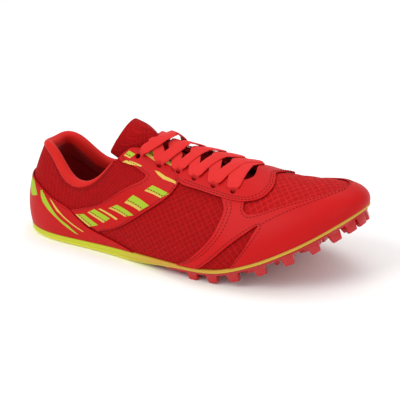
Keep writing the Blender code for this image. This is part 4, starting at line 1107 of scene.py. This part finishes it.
# Spike plate, seen from below: places as shares of the length and of the half width on their side.
plate = {
    "inset": 0.0006, "from": (5.75, 6.75), "bossRadius": 0.0087, "bossHeight": 0.0032, "ribHeight": 0.0017,
    "ribWidth": 0.0030, "seatRadius": 0.0041, "seatBore": 0.0024,
    "ribProfile": ((-1, 0.0), (-0.92, 0.45), (-0.62, 0.90), (0, 1.0), (0.62, 0.90), (0.92, 0.45), (1, 0.0)),
    "windowReach": 0.74, "windowRound": 0.20,
    "seats": ((0.890, 0.44), (0.766, 0.71), (0.576, 0.72), (0.652, 0.29), (0.918, -0.27), (0.791, -0.46),
              (0.681, -0.42)),
    "ribs": (((0.890, 0.44), (0.83, 0.60), (0.766, 0.71)), ((0.766, 0.71), (0.67, 0.79), (0.576, 0.72)),
             ((0.576, 0.72), (0.652, 0.29)), ((0.918, -0.27), (0.86, -0.40), (0.791, -0.46)),
             ((0.791, -0.46), (0.681, -0.42)), ((0.681, -0.42), (0.652, 0.29)),
             ((0.652, 0.29), (0.54, 0.27), (0.43, 0.15), (0.36, 0.06)),
             ((0.681, -0.42), (0.58, -0.34), (0.50, -0.15), (0.43, -0.02), (0.355, 0.06), (0.27, 0.105),
              (0.175, 0.085)),
             ((0.576, 0.72), (0.50, 0.77), (0.43, 0.62), (0.36, 0.45), (0.27, 0.26), (0.175, 0.105)),
             ((0.355, 0.06), (0.345, 0.40))),
    "windows": ((0.862, -0.16, 0.105, 20), (0.825, -0.08, 0.100, 80), (0.790, 0.03, 0.105, 20),
                (0.745, -0.05, 0.105, 80), (0.712, 0.10, 0.095, 20), (0.700, -0.10, 0.080, 80),
                (0.622, -0.12, 0.100, 50), (0.582, 0.06, 0.095, 110)),
    "leaf": ((0.600, 0.42), (0.570, 0.545), (0.528, 0.60), (0.470, 0.54), (0.415, 0.41), (0.455, 0.36),
             (0.520, 0.35)),
}
lugs = {
    "height": 0.0066, "length": 0.0095, "width": 0.0060, "tip": 0.55, "tipLength": 0.70, "soft": 0.0006,
    "field": ((0.924, 0.19, 100, 0.9), (0.942, 0.01, 80, 0.8), (0.888, 0.05, 90, 0.9),
              (0.857, 0.20, 110, 0.9), (0.829, 0.36, 110, 0.9), (0.801, 0.50, 120, 0.9),
              (0.760, 0.40, 100, 0.9), (0.712, 0.56, 95, 0.9), (0.660, 0.60, 80, 1.0),
              (0.630, -0.70, 100, 1.0)),
    "edge": ((6.55, -1), (7.15, -1), (7.75, -1), (8.45, -1), (9.15, -1), (9.85, -1), (10.5, -1), (11.1, -1),
             (11.7, -1), (11.45, 1), (10.85, 1), (10.2, 1), (9.45, 1), (8.75, 1), (8.05, 1), (7.35, 1)),
}


# Frame on the plate's upper face: its Z is the face's normal, its X runs forward along it.
def plateFrame(x, y):
    step = 1e-4
    slope = (plateTop(x + step) - plateTop(x - step)) / (2 * step)
    forward = Vector((1, 0, float(slope))).normalized()
    aside = Vector((0, 1, 0))
    placed = Matrix((forward, aside, forward.cross(aside))).transposed().to_4x4()
    placed.translation = Vector((x, y, float(plateTop(x)))) - Vector(shoe["middle"])
    return placed


# Triangle with rounded corners.
def windowOutline(shareX, shareY, size, turn):
    x, y = planPoint(shareX, shareY)
    reach = size * (shoe["ballLateral"] + shoe["ballMedial"]) / 2
    far, small = reach * plate["windowReach"], reach * plate["windowRound"]
    outline = []
    for corner in range(3):
        middle = math.radians(turn) + math.tau * corner / 3
        for step in range(-3, 4):
            angle = middle + math.radians(20) * step
            outline.append((x + far * math.cos(middle) + small * math.cos(angle),
                            y + far * math.sin(middle) + small * math.sin(angle)))
    return outline


# Profile of radius and height spun about the frame's Z.
def spun(name, profile, placed, finishes, rounds=32):
    mesh = bpy.data.meshes.new(name)
    mesh.from_pydata([(r, 0, h) for r, h in profile], [(i, i + 1) for i in range(len(profile) - 1)], [])
    obj = linked(name, mesh)
    addModifier(obj, "SCREW", angle=math.tau, steps=rounds, render_steps=rounds, axis="Z",
                use_merge_vertices=True, merge_threshold=1e-6, use_smooth_shade=True)
    applyAll(obj)
    form = bmesh.new()
    form.from_mesh(obj.data)
    bmesh.ops.recalc_face_normals(form, faces=form.faces)
    form.to_mesh(obj.data)
    form.free()
    obj.data.transform(placed)
    for finish in finishes:
        obj.data.materials.append(finish)
    shadeByAngle(obj, 35)
    return obj


def lugMesh(x, y, turn, size):
    bpy.ops.mesh.primitive_cube_add(size=1)
    obj = bpy.context.active_object
    for vert in obj.data.vertices:
        low = vert.co.z < 0
        vert.co.x *= lugs["length"] * size * (lugs["tipLength"] if low else 1.0)
        vert.co.y *= lugs["width"] * size * (lugs["tip"] if low else 1.0)
        vert.co.z = -lugs["height"] - shoe["plate"] if low else -shoe["plate"] * 0.5
    addModifier(obj, "BEVEL", width=lugs["soft"], segments=2)
    applyAll(obj)
    obj.data.transform(plateFrame(x, y) @ Matrix.Rotation(math.radians(turn), 4, "Z"))
    return obj


def ribMesh(points):
    path = smoothRun([planPoint(*point) for point in points], 8)
    if len(path) < 4:
        start, run = np.array(path[0]), np.array(path[-1]) - np.array(path[0])
        path = [start + run * t for t in np.linspace(0, 1, 9)]
    rings = []
    for i, point in enumerate(path):
        along = np.array(path[min(i + 1, len(path) - 1)]) - np.array(path[max(i - 1, 0)])
        across = Vector((-along[1], along[0], 0)).normalized() * plate["ribWidth"] / 2
        placed = plateFrame(*point)
        ring = []
        for share, depth in plate["ribProfile"]:
            down = shoe["plate"] * 0.5 + depth * (plate["ribHeight"] + shoe["plate"] * 0.5)
            ring.append(placed @ (across * share + Vector((0, 0, -down))))
        rings.append(ring)
    return loftMesh("rib", rings, [])


def buildPlate():
    stationsLateral = np.array([k for k in stationLines(0, stations) if k >= plate["from"][0]] + [stations])
    stationsMedial = np.array([k for k in stationLines(0, stations) if k >= plate["from"][1]])
    lateral = footEdge(stationsLateral, -1, -plate["inset"])
    medial = footEdge(stationsMedial, 1, -plate["inset"])
    outline = [tuple(p[:2]) for p in lateral[::-1]]
    fork = [planPoint(*row) for row in prong["lateral"] + prong["medial"]]
    outline += [tuple(p) for p in smoothRun(fork, 4)]
    outline += [tuple(p[:2]) for p in medial]
    leaf = [planPoint(*row) for row in plate["leaf"]]
    leaf = [tuple(p) for p in smoothRun(leaf[-1:] + leaf + leaf[:2], 4)[4:-4]][:-1]
    windows = [windowOutline(*row) for row in plate["windows"]]
    obj = flatSheet("spike_plate_moulding", [outline, leaf] + windows, soleSlices(), [])
    for vert in obj.data.vertices:
        vert.co = plateFrame(vert.co.x, vert.co.y).translation
    upward = obj.data.polygons[0].normal.z > 0
    addModifier(obj, "SOLIDIFY", thickness=shoe["plate"], offset=-1 if upward else 1)
    addModifier(obj, "BEVEL", width=0.0003, segments=2, limit_method="ANGLE", angle_limit=math.radians(50))
    applyAll(obj)
    parts = [ribMesh(points) for points in plate["ribs"]]
    parts += [lugMesh(*planPoint(shareX, shareY), turn, size) for shareX, shareY, turn, size in lugs["field"]]
    for station, side in lugs["edge"]:
        foot, _, _, _, out = rails(np.array([station]), side)
        inside = foot[0] - (plate["inset"] + lugs["width"] * 0.56) * out[0]
        parts.append(lugMesh(inside[0], inside[1], math.degrees(math.atan2(out[0][1], out[0][0])) + 90, 1.0))
    radius, low = plate["bossRadius"], -shoe["plate"] - plate["bossHeight"]
    hole = plate["seatRadius"] + shoe["gap"]
    for place in plate["seats"]:
        profile = ((0, -0.0007), (radius, -0.0007), (radius * 0.975, low + 0.0008),
                   (radius * 0.95, low + 0.0002), (radius * 0.91, low), (hole + 0.0003, low),
                   (hole, low + 0.0003), (hole, -0.0013), (0, -0.0013))
        parts.append(spun("boss", profile, plateFrame(*planPoint(*place)), [], 40))
    joined([obj] + parts, tpu)
    for vert in obj.data.vertices:
        vert.co.z = max(vert.co.z, 0.0)
    shadeByAngle(obj, 35)
    keep(obj, "plate", "spike_plate")
    for i, place in enumerate(plate["seats"]):
        outer, inner, rim = plate["seatRadius"], plate["seatBore"], low + shoe["gap"]
        profile = ((outer - 0.0003, -0.0014), (outer, -0.0017), (outer, rim + 0.0005), (outer - 0.0005, rim),
                   (inner + 0.0006, rim), (inner, rim + 0.0006), (inner, -0.0014))
        # The second slot is the dark steel copy, painted shade for the bores; no face of the seat is given
        # it.
        seat = spun(f"spike_seat_{i + 1}_steel", profile + profile[:1], plateFrame(*planPoint(*place)),
                    [steel, boreShade])
        keep(seat, "steel", f"spike_seat_{i + 1}")


buildPlate()
print("plate and seats made")

# Lace: flat ribbons crossing from eyelet to eyelet, narrow where they dive into the holes.
lace = {
    "width": 0.0084, "thickness": 0.0013, "points": 44, "dive": (0.0002, 0.0030), "depth": 0.0038,
    "taper": (0.0004, 0.0048), "narrow": (0.46, 0.54), "rest": 0.7, "crossing": 0.0006,
    "over": ((0.0085, 0.0026), (0.0025, 0.0012), (0.0, 0.0002), (0.0, -0.0002), (0.0, -0.0004),
             (0.0, -0.0004)),
    "under": ((0.0045, 0.0012), (0.0, 0.0002), (0.0, -0.0004), (0.0, -0.0008), (0.0, -0.0008)),
}


# The lift carries the middle of a run forward and up, over the tongue.
def lacePath(start, end, out, lift):
    turn = np.linspace(0, math.pi, lace["points"])
    steps = (1 - np.cos(turn)) / 2
    k, v = start[0] + (end[0] - start[0]) * steps, start[1] + (end[1] - start[1]) * steps
    flat, normals = over(k, v, np.zeros(len(k))), normalsOf(over, k, v, np.zeros(len(k)))
    lengths = np.concatenate([[0], np.cumsum(np.linalg.norm(np.diff(flat, axis=0), axis=1))])
    ends = np.minimum(lengths, lengths[-1] - lengths)
    height = out - (out + lace["depth"]) * (1 - smoothStep(ends, *lace["dive"]))
    crown = (1 - (2 * steps - 1) ** 2)[:, None]
    narrow = lace["narrow"][0] + lace["narrow"][1] * smoothStep(ends, *lace["taper"])
    return flat + normals * height[:, None] + crown * np.array([lift[0], 0, lift[1]]), normals, narrow


def ribbonMesh(path, normals, narrow):
    rings = []
    for i, point in enumerate(path):
        along = path[min(i + 1, len(path) - 1)] - path[max(i - 1, 0)]
        along = along / np.linalg.norm(along)
        across = np.cross(normals[i], along)
        across = across / np.linalg.norm(across)
        above = np.cross(along, across)
        half = lace["width"] / 2 * float(narrow[i])
        thick = lace["thickness"] / 2 * (1.9 - 0.9 * float(narrow[i]))
        ring = []
        for turn in np.linspace(0, math.tau, 16, endpoint=False):
            side = math.copysign(abs(math.cos(turn)) ** 0.55, math.cos(turn))
            rise = math.copysign(abs(math.sin(turn)) ** 0.8, math.sin(turn))
            ring.append(point + across * half * side + above * thick * rise)
        rings.append(ring)
    return loftMesh("lace_run", rings, [])


def buildLace():
    out = shoe["overlayGap"] + shoe["overlay"] + shoe["stayRaise"] + lace["thickness"] * lace["rest"]
    lateral, medial = eyelets(0, 6)
    parts = []
    for i in range(5):
        above = out + lace["crossing"]
        parts.append(ribbonMesh(*lacePath(lateral[i], medial[i + 1], above, lace["over"][i])))
        parts.append(ribbonMesh(*lacePath(medial[i], lateral[i + 1], out, lace["under"][i])))
    parts.append(ribbonMesh(*lacePath(lateral[5], medial[5], out, lace["over"][5])))
    obj = joined(parts, laceCloth)
    obj.name = "lace_ribbon"
    shadeByAngle(obj, 60)
    return keep(obj, "lace", "lace")


buildLace()
print("lace run through")

# Printed blocks, each by its first corner, short edge and long edge, and streaks, in stations and shares of
# the section on the outer side. A straw strip and a stitch row run along the lower long edge of each block.
prints = {
    "thickness": 0.00012, "sunk": 0.00002, "strip": 0.26, "space": 0.03, "seam": 0.36, "seamHeight": 0.0016,
    "blocks": (((4.22, 0.53), (0.27, 0.00), (0.43, -0.13)),
               ((4.72, 0.52), (0.27, 0.04), (0.39, -0.09)),
               ((5.28, 0.58), (0.20, 0.04), (0.42, -0.05)),
               ((3.52, 0.52), (0.25, 0.05), (0.41, -0.16)),
               ((3.08, 0.43), (0.30, 0.05), (0.36, -0.16)),
               ((4.85, 0.93), (0.13, 0.02), (0.14, -0.06)),
               ((5.33, 0.87), (0.22, 0.05), (0.20, -0.06)),
               ((5.76, 0.80), (0.17, 0.08), (0.30, -0.04))),
    "streaks": (((3.90, 0.56), (3.97, 0.56), (4.42, 0.39), (4.36, 0.38)),
                ((5.53, 0.735), (5.63, 0.725), (5.78, 0.695), (6.09, 0.66), (6.06, 0.645), (5.74, 0.67),
                 (5.61, 0.70)),
                ((4.80, 0.875), (4.90, 0.87), (5.04, 0.835), (5.26, 0.775), (5.22, 0.77), (4.98, 0.815))),
    "heel": (((1.64, 0.48), (1.72, 0.49), (1.88, 0.44), (2.18, 0.35), (2.42, 0.27), (2.73, 0.20),
              (3.02, 0.085), (2.92, 0.095), (2.41, 0.235), (2.04, 0.31), (1.79, 0.37), (1.69, 0.42)),
             ((0.98, 0.545), (1.24, 0.53), (1.52, 0.41), (1.44, 0.39), (1.20, 0.36), (0.96, 0.42),
              (0.88, 0.49))),
    "heelStreaks": (((2.08, 0.45), (2.18, 0.44), (2.50, 0.355), (2.58, 0.33), (3.22, 0.155), (3.16, 0.15),
                     (2.52, 0.32), (2.38, 0.345)),),
}


def blockCorners(first, across, along):
    first, across, along = np.array(first), np.array(across), np.array(along)
    return first, first + across, first + across + along, first + along


def between(a, b, share):
    return tuple(np.array(a) + (np.array(b) - np.array(a)) * share)


def buildPrints():
    out = shoe["overlayGap"] + shoe["overlay"] - prints["sunk"]
    strip = prints["strip"]
    ink = strip + prints["space"]
    sheets = []
    for block in prints["blocks"]:
        a, b, c, d = blockCorners(*block)
        sheets.append(([between(a, b, ink), tuple(b), tuple(c), between(d, c, ink)], limePrint))
        sheets.append(([tuple(a), between(a, b, strip), between(d, c, strip), tuple(d)], strawPrint))
    sheets += [(list(outline), strawPrint) for outline in prints["streaks"]]
    heel = [(list(outline), limePrint) for outline in prints["heel"]]
    heel += [(list(outline), strawPrint) for outline in prints["heelStreaks"]]
    pieces = []
    for label, wrap, laid, otherSide in (("print", over, sheets, mirrored),
                                         ("heel_print", around, heel, mirroredRound)):
        for number, (outline, colour) in enumerate(laid):
            for side, points in (("lateral", outline), ("medial", otherSide(outline))):
                pieces.append(laidPiece(f"{label}_{number + 1}_{side}", [points], wrap, out,
                                        prints["thickness"], [colour]))
    obj = joined(pieces)
    obj.name = "printed_blocks"
    return keep(obj, "overlay")


buildPrints()
print("prints laid")

# Stitch rows on the outer side, mirrored to the inner side: height off the last, then stations and shares.
stitches = {
    "pitch": 0.0025, "long": 0.0017, "wide": 0.00055, "reach": 0.0004, "sides": 6,
    "profile": ((-0.5, 0.35), (-0.34, 0.95), (0.34, 0.95), (0.5, 0.35)),  # shares of the length and the width
    "rows": (
        (0.0024, ((6.08, 0.715), (6.22, 0.678), (6.75, 0.652), (7.36, 0.633), (8.01, 0.622), (8.34, 0.652),
                  (8.54, 0.712), (8.66, 0.80), (8.67, 0.88), (8.63, 1.0))),
        (0.0024, ((6.30, 0.692), (6.75, 0.670), (7.36, 0.651), (7.98, 0.641), (8.28, 0.670), (8.46, 0.727),
                  (8.58, 0.81), (8.59, 0.88), (8.55, 1.0))),
        (0.0015, ((3.72, 0.235), (4.60, 0.345), (5.27, 0.445), (5.82, 0.560), (6.06, 0.650), (6.04, 0.690))),
        (0.0015, ((4.78, 0.950), (4.88, 0.88), (5.27, 0.745), (5.40, 0.685), (5.12, 0.630), (4.45, 0.615),
                  (3.53, 0.585), (2.98, 0.465))),
        (0.0015, ((6.25, 0.03), (6.79, 0.14), (7.28, 0.295), (7.49, 0.41), (7.60, 0.53), (7.52, 0.60))),
        (0.0015, ((6.37, 0.03), (6.90, 0.14), (7.38, 0.29), (7.60, 0.41), (7.71, 0.53), (7.66, 0.60))),
        (0.0015, ((6.78, 0.02), (7.22, 0.145), (7.61, 0.25), (8.00, 0.338), (8.36, 0.404), (8.52, 0.408))),
        (0.0015, ((7.96, 0.60), (7.97, 0.535), (8.14, 0.480), (8.50, 0.492), (9.41, 0.565), (10.54, 0.603),
                  (11.3, 0.61), (12.0, 0.61))),
        (0.0015, ((7.83, 0.02), (8.00, 0.10), (8.24, 0.21), (8.50, 0.345), (8.60, 0.41), (9.10, 0.475),
                  (9.72, 0.53), (10.6, 0.57), (11.43, 0.585))),
        (0.0001, ((1.36, 0.935), (1.80, 0.885), (2.20, 0.810), (2.60, 0.790), (3.06, 0.835), (3.46, 0.870),
                  (3.79, 0.895), (4.20, 0.925), (4.50, 0.940))),
    ),
    "heel": ((0.0015, ((-2.80, 0.445), (-2.1, 0.450), (-1.5, 0.50), (-0.8, 0.55), (0.0, 0.56), (0.8, 0.55),
                       (1.5, 0.50), (2.1, 0.450), (2.80, 0.445))),),
}


def stitchRow(points, wrap, out):
    curve = np.array(smoothRun(points, 10))
    place = wrap(curve[:, 0], curve[:, 1], np.full(len(curve), out))
    lengths = np.concatenate([[0], np.cumsum(np.linalg.norm(np.diff(place, axis=0), axis=1))])
    at = np.arange(stitches["pitch"] / 2, lengths[-1], stitches["pitch"])
    shifts = (-stitches["reach"], 0, stitches["reach"])
    rows = [np.interp(at + shift, lengths, curve[:, axis]) for shift in shifts for axis in (0, 1)]
    before, centre, after = [wrap(rows[i], rows[i + 1], settled(rows[i], out)) for i in (0, 2, 4)]
    along = unit(after - before)
    normals = normalsOf(wrap, rows[2], rows[3], np.full(len(at), out))
    return centre, along, np.cross(normals, along), normals


def buildStitches():
    rows = list(stitches["rows"])
    for block in prints["blocks"]:
        a, b, c, d = blockCorners(*block)
        start, end = between(a, b, prints["seam"]), between(d, c, prints["seam"])
        rows.append((prints["seamHeight"], (start, between(start, end, 0.5), end)))
    runs = [stitchRow(points, over, out) for out, row in rows for points in (row, mirrored(row))]
    runs += [stitchRow(points, around, out) for out, points in stitches["heel"]]
    centre, along, aside, normals = [np.concatenate([run[i] for run in runs]) for i in range(4)]
    verts, faces = [], []
    sides = stitches["sides"]
    for end, girth in stitches["profile"]:
        for i in range(sides):
            turn = math.tau * i / sides
            verts.append(centre + along * end * stitches["long"]
                         + aside * girth * math.cos(turn) * stitches["wide"] / 2
                         + normals * girth * math.sin(turn) * stitches["wide"] / 2)
    block = len(verts)
    for ring in range(3):
        for i in range(sides):
            j = (i + 1) % sides
            faces.append((ring * sides + i, ring * sides + j, (ring + 1) * sides + j, (ring + 1) * sides + i))
    faces += [tuple(range(sides))[::-1], tuple(range(3 * sides, 4 * sides))]
    places = np.stack(verts, 1).reshape(-1, 3)
    every = [tuple(block * n + i for i in face) for n in range(len(centre)) for face in faces]
    mesh = bpy.data.meshes.new("stitch_rows")
    mesh.from_pydata(places.tolist(), [], every)
    obj = linked("stitch_rows", mesh)
    mesh.materials.append(thread)
    editAll(obj, [(bpy.ops.mesh.normals_make_consistent, {"inside": False})])
    bpy.ops.object.shade_smooth()
    return keep(obj, "overlay")


buildStitches()
print("stitches sewn")

# Camera at the photo's angle to the shoe, turned with its roll, and framed so that the shoe fills the width.
view = {
    "place": (0.39664, -0.60797, 0.31968), "azimuth": 32.137, "elevation": 21.222, "roll": -4.077,
    "lens": 94.85,
}


def aimCamera():
    azimuth, elevation = math.radians(view["azimuth"]), math.radians(view["elevation"])
    ahead = Vector((-math.sin(azimuth) * math.cos(elevation), math.cos(azimuth) * math.cos(elevation),
                    -math.sin(elevation)))
    right = ahead.cross(Vector((0, 0, 1))).normalized()
    turn = Matrix.Rotation(math.radians(-view["roll"]), 3, ahead)
    right = turn @ right
    above = right.cross(ahead)
    camera = linked("camera", bpy.data.cameras.new("camera"))
    camera.data.lens = view["lens"]
    camera.data.sensor_width = 36
    camera.data.clip_end = 20
    placed = Matrix((right, above, -ahead)).transposed().to_4x4()
    placed.translation = view["place"]
    camera.matrix_world = placed
    bpy.context.scene.camera = camera


def addLight(name, place, target, size, power):
    light = bpy.data.lights.new(name, "AREA")
    light.shape = "RECTANGLE"
    light.size, light.size_y = size
    light.energy = power
    holder = linked(name, light)
    holder.location = place
    holder.rotation_euler = (Vector(target) - Vector(place)).to_track_quat("-Z", "Y").to_euler()


def buildStudio():
    bpy.ops.mesh.primitive_plane_add(size=6, location=(0, 0, -0.0001))
    floor = bpy.context.active_object
    floor.name = "studio_floor"
    bpy.ops.object.transform_apply(location=True)
    sweep = startMaterial("matt white sweep", Base_Color=hexColour("#F4F4F4"), Roughness=0.8)
    floor.data.materials.append(sweep[0])
    world = bpy.data.worlds.new("soft white room")
    bpy.context.scene.world = world
    world.use_nodes = True
    world.node_tree.nodes["Background"].inputs["Color"].default_value = (1, 1, 1, 1)
    world.node_tree.nodes["Background"].inputs["Strength"].default_value = 0.80
    addLight("key softbox", (-0.9, -1.3, 1.7), (0, 0, 0.03), (1.2, 1.2), 20)
    addLight("fill softbox", (1.6, -0.9, 0.9), (0, 0, 0.03), (1.0, 1.0), 5)
    addLight("top softbox", (0.1, 0.5, 1.9), (0, 0, 0.03), (1.6, 1.0), 10)
    bpy.context.scene.view_settings.view_transform = "Standard"


aimCamera()
buildStudio()
